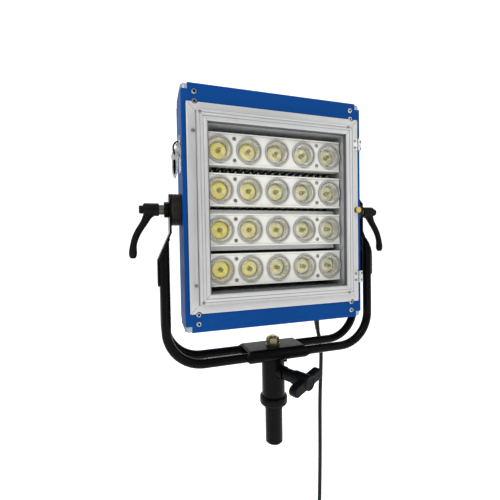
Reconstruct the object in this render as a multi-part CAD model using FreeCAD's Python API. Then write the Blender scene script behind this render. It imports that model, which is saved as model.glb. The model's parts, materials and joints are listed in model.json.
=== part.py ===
import FreeCAD, Part
import math
import os

# Light panel head in a twin tube yoke, on a spigot.
# Millimetres. X to the right, Y to the back, Z up.
# The origin is the root of the round pin that goes into a stand.

V = FreeCAD.Vector
os.makedirs("parts", exist_ok=True)
AXIS_X = V(1, 0, 0)
AXIS_Y = V(0, 1, 0)
AXIS_Z = V(0, 0, 1)
SIDES = (-1, 1)

# Heights of the head and of its tilt axis
HEAD_Z = 324.0
TILT_Z = 326.0

# Casing
CASE_HALF_W = 146.0
CASE_HALF_H = 177.0
CASE_HALF_D = 37.0
SHEET = 2.0
CAP = 9.0
CAP_ROUND = 5.0
WINDOW_HALF_W = 113.0
WINDOW_HALF_H = 123.0

# Front frame
FRAME_HALF_W = 139.5
FRAME_HALF_H = 149.5
FRAME_WIDTH = 28.0
FRAME_REAR_Y = -37.3
FLANGE_Y = -40.5
RIB_Y = -51.0
HINGE_X = 140.6
HINGE_Y = -42.8
HINGE_Z = 109.0
HINGE_TALL = 19.0
KNUCKLE_R = 2.2
HINGE_PIN_R = 1.0

# Lamp strips
LENS_PITCH_X = 45.5
LENS_PITCH_Z = 59.4
STRIP_HALF_W = 110.0
STRIP_HALF_H = 24.0
STRIP_Y = -31.0
LENS_HALF = 20.0
SCREW_X = 68.4
SCREW_Z = 16.0
BOARD_Y = -17.6
BAR_FRONT_Y = -16.0
BAR_REAR_Y = -12.0
SINK_FRONT_Y = 14.0
SINK_REAR_Y = 18.0
FIN_PITCH = 12.4
FIN_RISE = 32.0
BAR_HALF_H = 22.5
WIDE_BAR_HALF_H = 31.0

# Tilt joints
DISC_R = 23.7
PLATE_IN_X = 161.0
PLATE_T = 3.0
STUD_R = 5.0
YOKE_DISC_X = 154.3

# Yoke
TUBE_R = 7.0
TUBE_WALL = 1.5
TUBE_Y = 20.0
TUBE_X = 172.2
TUBE_Z = 94.5
BEND_R = 55.0
CLAMP_OUT_R = 10.0
CLAMP_HALF_W = 54.0
BOLT_R = 6.0

# Spigot
BODY_R = 19.0
RING_R = 23.0
RING_LOW = 6.0
SHOULDER_R = 15.6
PIN_R = 14.3
SOCKET_R = 8.05
PIN_BOTTOM = -60.0
RING_TOP = 20.0
BODY_TOP = 84.5
SOCKET_TOP = 72.0
WING_Z = 62.5
WING_ANGLE = 25.0
WING_TILT = 12.0

# Mains cord
CORD_R = 3.6
CORD_Y = 53.0


def block(x0, x1, y0, y1, z0, z1):
    return Part.makeBox(x1 - x0, y1 - y0, z1 - z0, V(x0, y0, z0))


def rod(radius, start, way, length):
    return Part.makeCylinder(radius, length, V(*start), V(*way))


def cone(r0, r1, start, way, length):
    return Part.makeCone(r0, r1, length, V(*start), V(*way))


def tube(r_out, r_in, start, way, length):
    return rod(r_out, start, way, length).cut(rod(r_in, start, way, length))


def fuse_all(shapes):
    if len(shapes) == 1:
        return shapes[0]
    return shapes[0].multiFuse(shapes[1:]).removeSplitter()


def prism(points, plane, low, high):
    # Extrude a closed polygon given in the XZ, YZ or XY plane
    if plane == "XZ":
        corners = [V(a, low, b) for a, b in points]
        way = V(0, high - low, 0)
    elif plane == "YZ":
        corners = [V(low, a, b) for a, b in points]
        way = V(high - low, 0, 0)
    else:
        corners = [V(a, b, low) for a, b in points]
        way = V(0, 0, high - low)
    face = Part.Face(Part.makePolygon(corners + [corners[0]]))
    return face.extrude(way)


def turned(profile, centre, way):
    # Revolve a closed (radius, distance) outline about an axis from centre
    corners = [V(r, 0, d) for r, d in profile]
    face = Part.Face(Part.makePolygon(corners + [corners[0]]))
    shape = face.revolve(V(0, 0, 0), AXIS_Z, 360)
    turn = FreeCAD.Rotation(AXIS_Z, V(*way))
    shape.Placement = FreeCAD.Placement(V(*centre), turn)
    return shape


def mirrored(shape):
    return shape.mirror(V(0, 0, 0), AXIS_X)


def save(name, shapes):
    solids = []
    for shape in shapes:
        solids.extend(shape.Solids)
    for solid in solids:
        if not solid.isValid():
            print("not valid:", name)
    Part.makeCompound(solids).exportStep("parts/" + name + ".step")
    volume = sum(solid.Volume for solid in solids)
    print("%-22s %3d solids %11.0f mm3" % (name, len(solids), volume))


# ---------------------------------------------------------------- casing

def corner_notches():
    notches = []
    for sx in SIDES:
        for sy in SIDES:
            for sz in SIDES:
                x = sx * (CASE_HALF_W - CAP / 2)
                y = sy * (CASE_HALF_D - CAP / 2)
                z = HEAD_Z + sz * (CASE_HALF_H - CAP / 2)
                h = CAP / 2
                notches.append(block(x - h, x + h, y - h, y + h, z - h, z + h))
    return notches


notches = corner_notches()
case_low = HEAD_Z - CASE_HALF_H
case_high = HEAD_Z + CASE_HALF_H
skin_y = CASE_HALF_D - SHEET

wrap_outer = block(-CASE_HALF_W, CASE_HALF_W, -skin_y, skin_y, case_low, case_high)
long_edges = [
    edge for edge in wrap_outer.Edges
    if abs(edge.BoundBox.YLength - 2 * skin_y) < 0.01
]
wrap_outer = wrap_outer.makeFillet(1.5, long_edges)
wrap_inner = block(
    SHEET - CASE_HALF_W, CASE_HALF_W - SHEET,
    -skin_y, skin_y, case_low + SHEET, case_high - SHEET
)
casing = wrap_outer.cut(wrap_inner)
for notch in notches:
    casing = casing.cut(notch)
for side in SIDES:
    casing = casing.cut(rod(STUD_R + 0.2, (side * 140, 0, TILT_Z), (side, 0, 0), 10))
save("casing_wrap", [casing])

caps = []
for notch in notches:
    cap = notch.copy()
    centre = cap.BoundBox.Center
    outer_corner = V(
        math.copysign(CASE_HALF_W, centre.x),
        math.copysign(CASE_HALF_D, centre.y),
        HEAD_Z + math.copysign(CASE_HALF_H, centre.z - HEAD_Z),
    )
    edges = []
    for edge in cap.Edges:
        ends = [vertex.Point for vertex in edge.Vertexes]
        if any(end.distanceToPoint(outer_corner) < 0.01 for end in ends):
            edges.append(edge)
    caps.append(cap.makeFillet(CAP_ROUND, edges))
save("corner_caps", caps)

bezel = block(-CASE_HALF_W, CASE_HALF_W, -CASE_HALF_D, -skin_y, case_low, case_high)
bezel = bezel.cut(block(
    -WINDOW_HALF_W, WINDOW_HALF_W, -40, -30,
    HEAD_Z - WINDOW_HALF_H, HEAD_Z + WINDOW_HALF_H
))
back = block(-CASE_HALF_W, CASE_HALF_W, skin_y, CASE_HALF_D, case_low, case_high)
for notch in notches:
    bezel = bezel.cut(notch)
    back = back.cut(notch)

# Casing screws: eight on the bezel and eight on the back panel
SCREW_HOLE_R = 2.0
CASE_SCREW_HEAD_R = 3.9
BEZEL_SCREW_X = 127.3
BEZEL_SCREW_HEIGHTS = (151.2, 164.8)
BACK_SCREW_X = 138.0
BACK_SCREW_HEIGHTS = (52.0, 158.0)
casing_screws = []
for sy, screw_x, heights in (
    (-1, BEZEL_SCREW_X, BEZEL_SCREW_HEIGHTS), (1, BACK_SCREW_X, BACK_SCREW_HEIGHTS)
):
    for sx in SIDES:
        for height in heights:
            for sz in SIDES:
                x = sx * screw_x
                z = HEAD_Z + sz * height
                way = (0, -sy, 0)
                shank = rod(SCREW_HOLE_R, (x, sy * CASE_HALF_D, z), way, 6.0)
                head = turned(
                    [(1.9, 0.9), (1.9, 2.2), (2.9, 2.2), (CASE_SCREW_HEAD_R, 1.0),
                     (CASE_SCREW_HEAD_R, 0.0), (0.0, 0.0), (0.0, 0.9)],
                    (x, sy * CASE_HALF_D, z), (0, sy, 0)
                )
                casing_screws.append(head.fuse(shank))
                hole = rod(SCREW_HOLE_R, (x, sy * 40, z), way, 8.0)
                if sy < 0:
                    bezel = bezel.cut(hole)
                else:
                    back = back.cut(hole)
save("casing_screws", casing_screws)

# Back panel vents, in two fields of slots either side of the rear box
VENT_PITCH = 9.0
for sx in SIDES:
    for i in range(11):
        z = HEAD_Z + 20 + VENT_PITCH * i
        slot = block(sx * 70 - 38, sx * 70 + 38, 30, 40, z - 1.75, z + 1.75)
        back = back.cut(slot)

KNOB_X = -60.0
KNOB_Z = HEAD_Z - 95.0
SWITCH_X = 10.0
SWITCH_Z = HEAD_Z - 95.0
back = back.cut(rod(3.2, (KNOB_X, 30, KNOB_Z), (0, 1, 0), 10))
back = back.cut(block(SWITCH_X - 9.6, SWITCH_X + 9.6, 30, 40, SWITCH_Z - 6.4, SWITCH_Z + 6.4))

# Rear box: the mains inlet housing, with the gland pointing down
BOX_X0, BOX_X1 = 92.0, 132.0
BOX_Y1 = 69.0
BOX_Z0, BOX_Z1 = 152.0, 204.0
GLAND_X = 112.0
rear_box = prism(
    [(CASE_HALF_D, BOX_Z0), (BOX_Y1, BOX_Z0), (BOX_Y1, BOX_Z1 - 16), (CASE_HALF_D + 8, BOX_Z1),
     (CASE_HALF_D, BOX_Z1)],
    "YZ", BOX_X0, BOX_X1
)
rear_inner = prism(
    [(CASE_HALF_D, BOX_Z0 + 2), (BOX_Y1 - 2, BOX_Z0 + 2), (BOX_Y1 - 2, BOX_Z1 - 17),
     (CASE_HALF_D + 7, BOX_Z1 - 2), (CASE_HALF_D, BOX_Z1 - 2)],
    "YZ", BOX_X0 + 2, BOX_X1 - 2
)
rear_box = rear_box.cut(rear_inner)
rear_box = rear_box.cut(rod(6.0, (GLAND_X, CORD_Y, BOX_Z0 - 1), (0, 0, 1), 5))
back = back.cut(rod(8.0, (GLAND_X, 30, BOX_Z0 + 26), (0, 1, 0), 10))
save("back_panel", [back])
save("rear_box", [rear_box])

# Gland: flange nut, threaded body through the box wall, dome nut below
GLAND_LOW = 134.0
gland = turned(
    [(CORD_R, GLAND_LOW), (6.0, GLAND_LOW), (7.6, GLAND_LOW + 4), (8.6, GLAND_LOW + 6),
     (8.6, 146.0), (9.6, 146.0), (9.6, BOX_Z0), (6.0, BOX_Z0), (6.0, BOX_Z0 + 2),
     (8.8, BOX_Z0 + 2), (8.8, BOX_Z0 + 6), (6.0, BOX_Z0 + 6), (6.0, BOX_Z0 + 9), (CORD_R, BOX_Z0 + 9)],
    (GLAND_X, CORD_Y, 0), (0, 0, 1)
)
for i in range(6):
    angle = math.radians(60 * i)
    flat = block(8.1, 12, -8, 8, 138.5, 145.0)
    flat.rotate(V(0, 0, 0), AXIS_Z, math.degrees(angle))
    flat.translate(V(GLAND_X, CORD_Y, 0))
    gland = gland.cut(flat)
save("cable_gland", [gland])

# Rear controls
knob = turned(
    [(0.0, 39.0), (9.0, 39.0), (11.0, 37.6), (11.0, 51.0), (9.8, 53.0), (0.0, 53.0)],
    (KNOB_X, 0, KNOB_Z), (0, 1, 0)
)
for i in range(18):
    angle = math.radians(20 * i)
    x = KNOB_X + 11.3 * math.cos(angle)
    z = KNOB_Z + 11.3 * math.sin(angle)
    knob = knob.cut(rod(0.9, (x, 36, z), (0, 1, 0), 20))
knob = knob.cut(block(KNOB_X - 0.6, KNOB_X + 0.6, 52.2, 54, KNOB_Z + 3, KNOB_Z + 12))
shaft = rod(3.1, (KNOB_X, 28.3, KNOB_Z), (0, 1, 0), 14)
save("dimmer_knob", [knob.fuse(shaft)])

rocker_half_l = 9.0
rocker = prism(
    [(36.0, -5.6), (39.0, -5.6), (40.6, 0.0), (39.4, 5.6), (36.0, 5.6), (33.5, 2.0), (33.5, -2.0)],
    "YZ", SWITCH_X - rocker_half_l, SWITCH_X + rocker_half_l
)
rocker.translate(V(0, 0, SWITCH_Z))
trunnion_half = rocker_half_l + 0.5
trunnion = rod(1.5, (SWITCH_X - trunnion_half, 36.5, SWITCH_Z), (1, 0, 0), 2 * trunnion_half)
save("rocker_switch", [rocker.fuse(trunnion)])

# ---------------------------------------------------------------- light engine

LINER_T = 1.0
liner_low = HEAD_Z - WINDOW_HALF_H
liner_high = HEAD_Z + WINDOW_HALF_H
liner = block(-WINDOW_HALF_W, WINDOW_HALF_W, -CASE_HALF_D, SINK_FRONT_Y, liner_low, liner_high)
liner = liner.cut(block(
    LINER_T - WINDOW_HALF_W, WINDOW_HALF_W - LINER_T, -40, SINK_FRONT_Y + 1,
    liner_low + LINER_T, liner_high - LINER_T
))
save("inner_liner", [liner])

save("heat_sink", [
    block(-120, 120, SINK_FRONT_Y, SINK_REAR_Y, HEAD_Z - 130, HEAD_Z + 130)
])

# Two finned plates carry the heat on to the vented back
COMB_PITCH = 9.0
COMB_REAR_Y = 31.0
combs = []
for low, high in ((-60, 31), (35, 126)):
    comb = [block(-110, 110, SINK_REAR_Y, SINK_REAR_Y + 1.5, HEAD_Z + low, HEAD_Z + high)]
    for i in range(-12, 13):
        x = COMB_PITCH * i
        comb.append(block(x - 0.6, x + 0.6, SINK_REAR_Y + 1.5, COMB_REAR_Y, HEAD_Z + low, HEAD_Z + high))
    combs.append(fuse_all(comb))
save("cooling_combs", combs)

rows = [HEAD_Z + LENS_PITCH_Z * (i - 1.5) for i in range(4)]
columns = [LENS_PITCH_X * (i - 2) for i in range(5)]
covers = []
bars = []
boards = []
emitters = []
rings = []
lenses = []
strip_screws = []
COVER_T = 1.5
LIP = 1.4
for row, z in enumerate(rows):
    cover = block(-STRIP_HALF_W, STRIP_HALF_W, STRIP_Y, BAR_FRONT_Y, z - STRIP_HALF_H, z + STRIP_HALF_H)
    cover = cover.cut(block(
        COVER_T - STRIP_HALF_W, STRIP_HALF_W - COVER_T, STRIP_Y + COVER_T, BAR_FRONT_Y,
        z - STRIP_HALF_H + COVER_T, z + STRIP_HALF_H - COVER_T
    ))
    for side in SIDES:
        edge = z + side * (STRIP_HALF_H - 1.0)
        cover = cover.fuse(block(
            -STRIP_HALF_W, STRIP_HALF_W, STRIP_Y - LIP, STRIP_Y, edge - 1.0, edge + 1.0
        ))
    # Finned bar; the second one from below is wider and fills the gaps beside it, and the
    # fins of the lowest one stay behind its own strip
    bar_half = WIDE_BAR_HALF_H if row == 1 else BAR_HALF_H
    fin_rise = BAR_HALF_H if row == 0 else FIN_RISE
    bar = [block(-108, 108, BAR_FRONT_Y, BAR_REAR_Y, z - bar_half, z + bar_half)]
    for i in range(-8, 9):
        x = FIN_PITCH * i
        bar.append(block(x - 0.8, x + 0.8, BAR_REAR_Y, SINK_FRONT_Y, z - BAR_HALF_H, z + fin_rise))
    bar = fuse_all(bar)
    board = block(-106, 106, BOARD_Y, BAR_FRONT_Y, z - 21, z + 21)
    for x in columns:
        cover = cover.cut(rod(18.6, (x, STRIP_Y - 1, z), (0, 1, 0), 4))
        rings.append(turned(
            [(17.8, 0.0), (18.6, 0.0), (18.6, 1.5), (LENS_HALF, 1.5), (LENS_HALF, 3.4),
             (19.4, 4.0), (18.2, 4.0), (17.8, 3.4)],
            (x, STRIP_Y + COVER_T, z), (0, -1, 0)
        ))
        lenses.append(turned(
            [(3.6, 0.0), (5.4, 0.0), (17.0, 10.0), (17.8, 11.4), (17.8, 12.9), (13.0, 13.6),
             (7.0, 14.0), (6.4, 13.1), (0.0, 13.3), (0.0, 4.0), (3.0, 3.6)],
            (x, BOARD_Y - 0.8, z), (0, -1, 0)
        ))
        emitters.append(rod(7.0, (x, BOARD_Y, z), (0, -1, 0), 0.8))
    for sx in SIDES:
        for sz in SIDES:
            x = sx * SCREW_X
            screw_z = z + sz * SCREW_Z
            head = turned(
                [(0.0, 0.0), (2.8, 0.0), (2.8, 0.9), (1.9, 1.7), (1.1, 1.7), (1.1, 0.9), (0.0, 0.9)],
                (x, STRIP_Y, screw_z), (0, -1, 0)
            )
            strip_screws.append(head.fuse(rod(1.5, (x, STRIP_Y, screw_z), (0, 1, 0), 18)))
            drill = rod(1.5, (x, STRIP_Y - 2, screw_z), (0, 1, 0), 20)
            cover = cover.cut(drill)
            bar = bar.cut(drill)
            board = board.cut(drill)
    covers.append(cover)
    bars.append(bar)
    boards.append(board)
save("strip_covers", covers)
save("led_bars", bars)
save("led_boards", boards)
save("led_emitters", emitters)
save("lens_rings", rings)
save("lenses", lenses)
save("strip_screws", strip_screws)

driver = [block(-52, 52, 20, 21.6, HEAD_Z - 146, HEAD_Z - 66)]
for x, z, wide, tall, deep in (
    (-36, -130, 22, 18, 9), (-8, -128, 16, 22, 10), (30, -130, 30, 14, 8), (30, -105, 10, 10, 11)
):
    driver.append(block(
        x - wide / 2, x + wide / 2, 21.6, 21.6 + deep,
        HEAD_Z + z - tall / 2, HEAD_Z + z + tall / 2
    ))
for sx in SIDES:
    for z in (-142, -70):
        driver.append(rod(2.5, (sx * 47, 21.6, HEAD_Z + z), (0, 1, 0), skin_y - 21.6))
save("driver_board", [fuse_all(driver)])

# ---------------------------------------------------------------- front frame

frame_profile = [
    (0.0, FRAME_REAR_Y), (0.0, FLANGE_Y), (1.0, FLANGE_Y - 0.5), (12.4, FLANGE_Y - 0.5),
    (12.4, FLANGE_Y + 0.8), (13.6, FLANGE_Y + 0.8), (13.6, RIB_Y + 1.2), (14.8, RIB_Y),
    (17.0, RIB_Y), (17.0, RIB_Y + 0.7), (18.0, RIB_Y + 0.7), (18.0, RIB_Y),
    (21.6, RIB_Y), (21.6, RIB_Y + 0.7), (22.6, RIB_Y + 0.7), (22.6, RIB_Y),
    (26.8, RIB_Y), (28.0, RIB_Y + 1.2), (28.0, FRAME_REAR_Y)
]
HOLLOW = (15.6, 26.2, RIB_Y + 2.4, FRAME_REAR_Y - 1.8)
SEAM = 0.25


def frame_side(wide, other, vertical, sign):
    # One mitred extrusion; wide is its half length, other its distance out
    corners = []
    for inset, depth in frame_profile:
        out = sign * (other - inset)
        if vertical:
            corners.append(V(out, depth, HEAD_Z - wide))
        else:
            corners.append(V(-wide, depth, HEAD_Z + out))
    way = V(0, 0, 2 * wide) if vertical else V(2 * wide, 0, 0)
    bar = Part.Face(Part.makePolygon(corners + [corners[0]])).extrude(way)
    near, far, front, rear = HOLLOW
    lo, hi = sorted((sign * (other - near), sign * (other - far)))
    if vertical:
        bar = bar.cut(block(lo, hi, front, rear, HEAD_Z - wide, HEAD_Z + wide))
    else:
        bar = bar.cut(block(-wide, wide, front, rear, HEAD_Z + lo, HEAD_Z + hi))
    outside = sign * other
    inside = sign * (other - FRAME_WIDTH)
    end = wide - SEAM
    if vertical:
        region = [(outside, HEAD_Z - end), (inside, HEAD_Z - end + FRAME_WIDTH),
                  (inside, HEAD_Z + end - FRAME_WIDTH), (outside, HEAD_Z + end)]
    else:
        region = [(-end, HEAD_Z + outside), (FRAME_WIDTH - end, HEAD_Z + inside),
                  (end - FRAME_WIDTH, HEAD_Z + inside), (end, HEAD_Z + outside)]
    return bar.common(prism(region, "XZ", -60, -30))


frame_top = frame_side(FRAME_HALF_W, FRAME_HALF_H, False, 1)
frame_bottom = frame_side(FRAME_HALF_W, FRAME_HALF_H, False, -1)
frame_left = frame_side(FRAME_HALF_H, FRAME_HALF_W, True, -1)
frame_right = frame_side(FRAME_HALF_H, FRAME_HALF_W, True, 1)

keys = []
near, far, front, rear = HOLLOW
for sx in SIDES:
    for sz in SIDES:
        x_near, x_far = sorted((sx * (FRAME_HALF_W - near), sx * (FRAME_HALF_W - far)))
        z_near, z_far = sorted((sz * (FRAME_HALF_H - near), sz * (FRAME_HALF_H - far)))
        x_end = sorted((sx * (FRAME_HALF_W - near), sx * (FRAME_HALF_W - near - 38)))
        z_end = sorted((sz * (FRAME_HALF_H - near), sz * (FRAME_HALF_H - near - 38)))
        leg_x = block(x_end[0], x_end[1], front, rear, HEAD_Z + z_near, HEAD_Z + z_far)
        leg_z = block(x_near, x_far, front, rear, HEAD_Z + z_end[0], HEAD_Z + z_end[1])
        keys.append(leg_x.fuse(leg_z).removeSplitter())

# Frame screws: one near each corner and two on the left rail
CORNER_SCREW_XS = (-121.8, 114.8)
CORNER_SCREW_HEIGHT = 132.6
RAIL_SCREW_X = -130.6
frame_screws = []
frame_drills = []
screw_places = [(x, sz * CORNER_SCREW_HEIGHT, RIB_Y) for x in CORNER_SCREW_XS for sz in SIDES]
screw_places += [(RAIL_SCREW_X, sz * HINGE_Z, FLANGE_Y - 0.5) for sz in SIDES]
for x, z, y in screw_places:
    head_r = 2.0 if y == RIB_Y else 2.5
    depth = 2.0 if y == RIB_Y else 3.0
    head = turned(
        [(0.0, -depth), (1.5, -depth), (1.5, 0.0), (head_r, 0.0), (head_r, 0.8), (head_r - 0.9, 1.5),
         (1.1, 1.5), (1.1, 0.7), (0.0, 0.7)],
        (x, y, HEAD_Z + z), (0, -1, 0)
    )
    frame_screws.append(head)
    frame_drills.append(rod(1.5, (x, y - 1, HEAD_Z + z), (0, 1, 0), depth + 1))
PLUNGER_X = 132.5
PLUNGER_Z = HEAD_Z + 1.0
frame_right = frame_right.cut(rod(2.6, (PLUNGER_X, -60, PLUNGER_Z), (0, 1, 0), 30))
# Round notches leave the inner bezel screws free when the frame swings
for sx in SIDES:
    for sz in SIDES:
        z = HEAD_Z + sz * BEZEL_SCREW_HEIGHTS[0]
        frame_drills.append(rod(CASE_SCREW_HEAD_R + 0.9, (sx * BEZEL_SCREW_X, -60, z), (0, 1, 0), 30))
rails = []
for rail in (frame_top, frame_bottom, frame_left, frame_right):
    for drill in frame_drills:
        rail = rail.cut(drill)
    rails.append(rail)
save("frame_top", [rails[0]])
save("frame_bottom", [rails[1]])
save("frame_left", [rails[2]])
save("corner_keys", keys)

# Dark seal round the inner edge of the frame
seal_w = FRAME_HALF_W - FRAME_WIDTH
seal_h = FRAME_HALF_H - FRAME_WIDTH
SEAL_T = 1.2
seal = block(-seal_w, seal_w, RIB_Y + 1.4, -43.5, HEAD_Z - seal_h, HEAD_Z + seal_h)
seal = seal.cut(block(
    SEAL_T - seal_w, seal_w - SEAL_T, -60, -40, HEAD_Z - seal_h + SEAL_T, HEAD_Z + seal_h - SEAL_T
))
save("frame_seal", [seal])

# Knurled plunger on the right rail
flange_front = FLANGE_Y - 0.5
barrel = turned(
    [(1.35, FRAME_REAR_Y - 0.4), (2.6, FRAME_REAR_Y - 0.4), (2.6, flange_front), (3.6, flange_front),
     (3.6, flange_front - 1.2), (3.25, flange_front - 1.2), (3.25, flange_front - 6.0),
     (1.35, flange_front - 6.0)],
    (PLUNGER_X, 0, PLUNGER_Z), (0, 1, 0)
)
save("plunger_barrel", [barrel])
head_back = flange_front - 6.3
plunger = turned(
    [(0.0, FRAME_REAR_Y - 0.4), (1.3, FRAME_REAR_Y - 0.4), (1.3, head_back), (4.2, head_back),
     (5.0, head_back - 0.8), (5.0, head_back - 4.6), (4.2, head_back - 5.4), (0.0, head_back - 5.4)],
    (PLUNGER_X, 0, PLUNGER_Z), (0, 1, 0)
)
for i in range(20):
    angle = math.radians(18 * i)
    x = PLUNGER_X + 5.15 * math.cos(angle)
    z = PLUNGER_Z + 5.15 * math.sin(angle)
    plunger = plunger.cut(rod(0.45, (x, head_back - 6, z), (0, 1, 0), 7))
save("plunger_knob", [plunger])

# ---------------------------------------------------------------- hinges

case_leaves = []
door_leaves = []
hinge_pins = []
case_hinge_screws = []
door_hinge_screws = []
KNUCKLE = HINGE_TALL / 3
LEAF_OUT_X = CASE_HALF_W + 1.5
LEAF_SCREW_X = 144.9
for sz in SIDES:
    z0 = HEAD_Z + sz * HINGE_Z - HINGE_TALL / 2
    z1 = z0 + HINGE_TALL
    hinge_bore = rod(HINGE_PIN_R, (HINGE_X, HINGE_Y, z0 - 1), (0, 0, 1), HINGE_TALL + 2)
    running_bore = rod(HINGE_PIN_R + 0.06, (HINGE_X, HINGE_Y, z0 - 1), (0, 0, 1), HINGE_TALL + 2)
    # Casing leaf: two knuckles, wrapped round the casing's edge
    leaf = block(HINGE_X + 2.5, LEAF_OUT_X, FLANGE_Y, -CASE_HALF_D, z0, z1)
    leaf = leaf.fuse(block(CASE_HALF_W, LEAF_OUT_X, -CASE_HALF_D, -22, z0, z1))
    for low in (z0, z1 - KNUCKLE + 0.2):
        high = low + KNUCKLE - 0.2
        leaf = leaf.fuse(rod(KNUCKLE_R, (HINGE_X, HINGE_Y, low), (0, 0, 1), high - low))
        leaf = leaf.fuse(block(HINGE_X, HINGE_X + 2.1, HINGE_Y + 0.4, FLANGE_Y + 0.4, low, high))
        leaf = leaf.fuse(block(HINGE_X, HINGE_X + 2.9, FLANGE_Y, FLANGE_Y + 1.2, low, high))
    leaf = leaf.cut(hinge_bore)
    # Door leaf: one knuckle, flat on the frame's flange
    flange = FLANGE_Y - 0.5
    door_leaf = block(129.5, HINGE_X - 2.7, flange - 1.5, flange, z0, z1)
    mid0 = z0 + KNUCKLE + 0.2
    mid1 = z1 - KNUCKLE - 0.2
    door_leaf = door_leaf.fuse(rod(KNUCKLE_R, (HINGE_X, HINGE_Y, mid0), (0, 0, 1), mid1 - mid0))
    door_leaf = door_leaf.fuse(block(HINGE_X - 4, HINGE_X, flange - 1.5, flange - 0.1, mid0, mid1))
    door_leaf = door_leaf.cut(running_bore)
    for dz in (-5.5, 5.5):
        z = (z0 + z1) / 2 + dz
        for x, y, depth, head_r, store in (
            (LEAF_SCREW_X, FLANGE_Y, 4.0, 1.8, case_hinge_screws),
            (133.2, flange - 1.5, 3.6, 2.3, door_hinge_screws)
        ):
            shank_r = head_r / 2
            store.append(turned(
                [(0.0, -depth), (shank_r, -depth), (shank_r, 0.0), (head_r, 0.0), (head_r, 0.6),
                 (head_r - 0.7, 1.2), (0.8, 1.2), (0.8, 0.5), (0.0, 0.5)],
                (x, y, z), (0, -1, 0)
            ))
            drill = rod(shank_r, (x, y - 1, z), (0, 1, 0), depth + 1)
            if store is case_hinge_screws:
                leaf = leaf.cut(drill)
                bezel = bezel.cut(drill)
            else:
                door_leaf = door_leaf.cut(drill)
                rails[3] = rails[3].cut(drill)
    case_leaves.append(leaf.removeSplitter())
    door_leaves.append(door_leaf.removeSplitter())
    hinge_pins.append(rod(HINGE_PIN_R, (HINGE_X, HINGE_Y, z0 - 0.5), (0, 0, 1), HINGE_TALL + 1))
save("front_bezel", [bezel])
save("frame_right", [rails[3]])
save("hinge_leaves_casing", case_leaves)
save("hinge_leaves_door", door_leaves)
save("hinge_pins", hinge_pins)
save("hinge_screws_casing", case_hinge_screws)
save("frame_screws", frame_screws + door_hinge_screws)

# ---------------------------------------------------------------- side latch

LATCH_Y = -15.0
LATCH_PIVOT = (-149.5, HEAD_Z + 88.0)
BAIL_PIVOT = (-155.0, HEAD_Z + 81.0)
LEVER_HALF = 4.6
WIRE_R = 1.2
side_x = -CASE_HALF_W
base = prism(
    [(LATCH_Y - 11, HEAD_Z + 56), (LATCH_Y + 11, HEAD_Z + 56), (LATCH_Y + 11, HEAD_Z + 88),
     (LATCH_Y + 7, HEAD_Z + 92), (LATCH_Y - 7, HEAD_Z + 92), (LATCH_Y - 11, HEAD_Z + 88)],
    "YZ", side_x - 1.0, side_x
)
for side in SIDES:
    y = LATCH_Y + side * 9.6
    ear = prism(
        [(side_x, HEAD_Z + 77), (side_x - 2.5, HEAD_Z + 80), (side_x - 6.2, HEAD_Z + 85),
         (side_x - 6.2, HEAD_Z + 90), (side_x - 4, HEAD_Z + 91.5), (side_x, HEAD_Z + 91.5)],
        "XZ", y - 0.9, y + 0.9
    )
    base = base.fuse(ear)
pin_x, pin_z = LATCH_PIVOT
base = base.fuse(rod(WIRE_R, (pin_x, LATCH_Y - 10.5, pin_z), (0, 1, 0), 21))
save("latch_base", [base.removeSplitter()])

# Lever: a leaning thumb tab above a long oval finger loop
lever_points = [
    (pin_x + 1.4, pin_z - 1.0), (pin_x - 0.9, pin_z + 1.9), (-153.4, HEAD_Z + 88.2),
    (-156.2, HEAD_Z + 87.4), (-160.0, HEAD_Z + 76.0), (-158.3, HEAD_Z + 74.4), (-158.7, HEAD_Z + 60.0),
    (-158.1, HEAD_Z + 52.5), (-156.7, HEAD_Z + 48.0), (-154.9, HEAD_Z + 46.6), (-153.2, HEAD_Z + 47.6),
    (-151.2, HEAD_Z + 53.0), (-149.6, HEAD_Z + 62.0), (-149.3, HEAD_Z + 76.0)
]
lever = prism(lever_points, "XZ", LATCH_Y - LEVER_HALF, LATCH_Y + LEVER_HALF)
lever = lever.fuse(rod(2.1, (pin_x, LATCH_Y - LEVER_HALF, pin_z), (0, 1, 0), 2 * LEVER_HALF))
loop_points = [
    (-156.8, HEAD_Z + 72.5), (-157.2, HEAD_Z + 61.0), (-156.6, HEAD_Z + 54.0), (-155.2, HEAD_Z + 50.5),
    (-153.6, HEAD_Z + 54.0), (-152.9, HEAD_Z + 62.0), (-153.4, HEAD_Z + 72.5)
]
lever = lever.cut(prism(loop_points, "XZ", LATCH_Y - LEVER_HALF - 1, LATCH_Y + LEVER_HALF - 2))
lever = lever.cut(rod(WIRE_R + 0.06, (pin_x, LATCH_Y - 6, pin_z), (0, 1, 0), 12))
bail_x, bail_z = BAIL_PIVOT
lever = lever.cut(rod(WIRE_R + 0.06, (bail_x, LATCH_Y - 6, bail_z), (0, 1, 0), 12))
save("latch_lever", [lever.removeSplitter()])

BAIL_HALF = 6.6
bail_arm = [
    BAIL_PIVOT, (-156.6, HEAD_Z + 86.0), (-156.4, HEAD_Z + 91.0), (-154.2, HEAD_Z + 95.4),
    (-151.6, HEAD_Z + 97.6), (-149.3, HEAD_Z + 97.8)
]
bail_path = [V(bail_x, LATCH_Y - 3.4, bail_z)]
bail_path += [V(x, LATCH_Y - BAIL_HALF, z) for x, z in bail_arm]
bail_path += [V(x, LATCH_Y + BAIL_HALF, z) for x, z in reversed(bail_arm)]
bail_path.append(V(bail_x, LATCH_Y + 3.4, bail_z))
bail_parts = []
for start, end in zip(bail_path, bail_path[1:]):
    way = end.sub(start)
    bail_parts.append(Part.makeCylinder(WIRE_R, way.Length, start, way))
for joint in bail_path[1:-1]:
    bail_parts.append(Part.makeSphere(WIRE_R, joint))
save("latch_bail", [fuse_all(bail_parts)])

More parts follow.
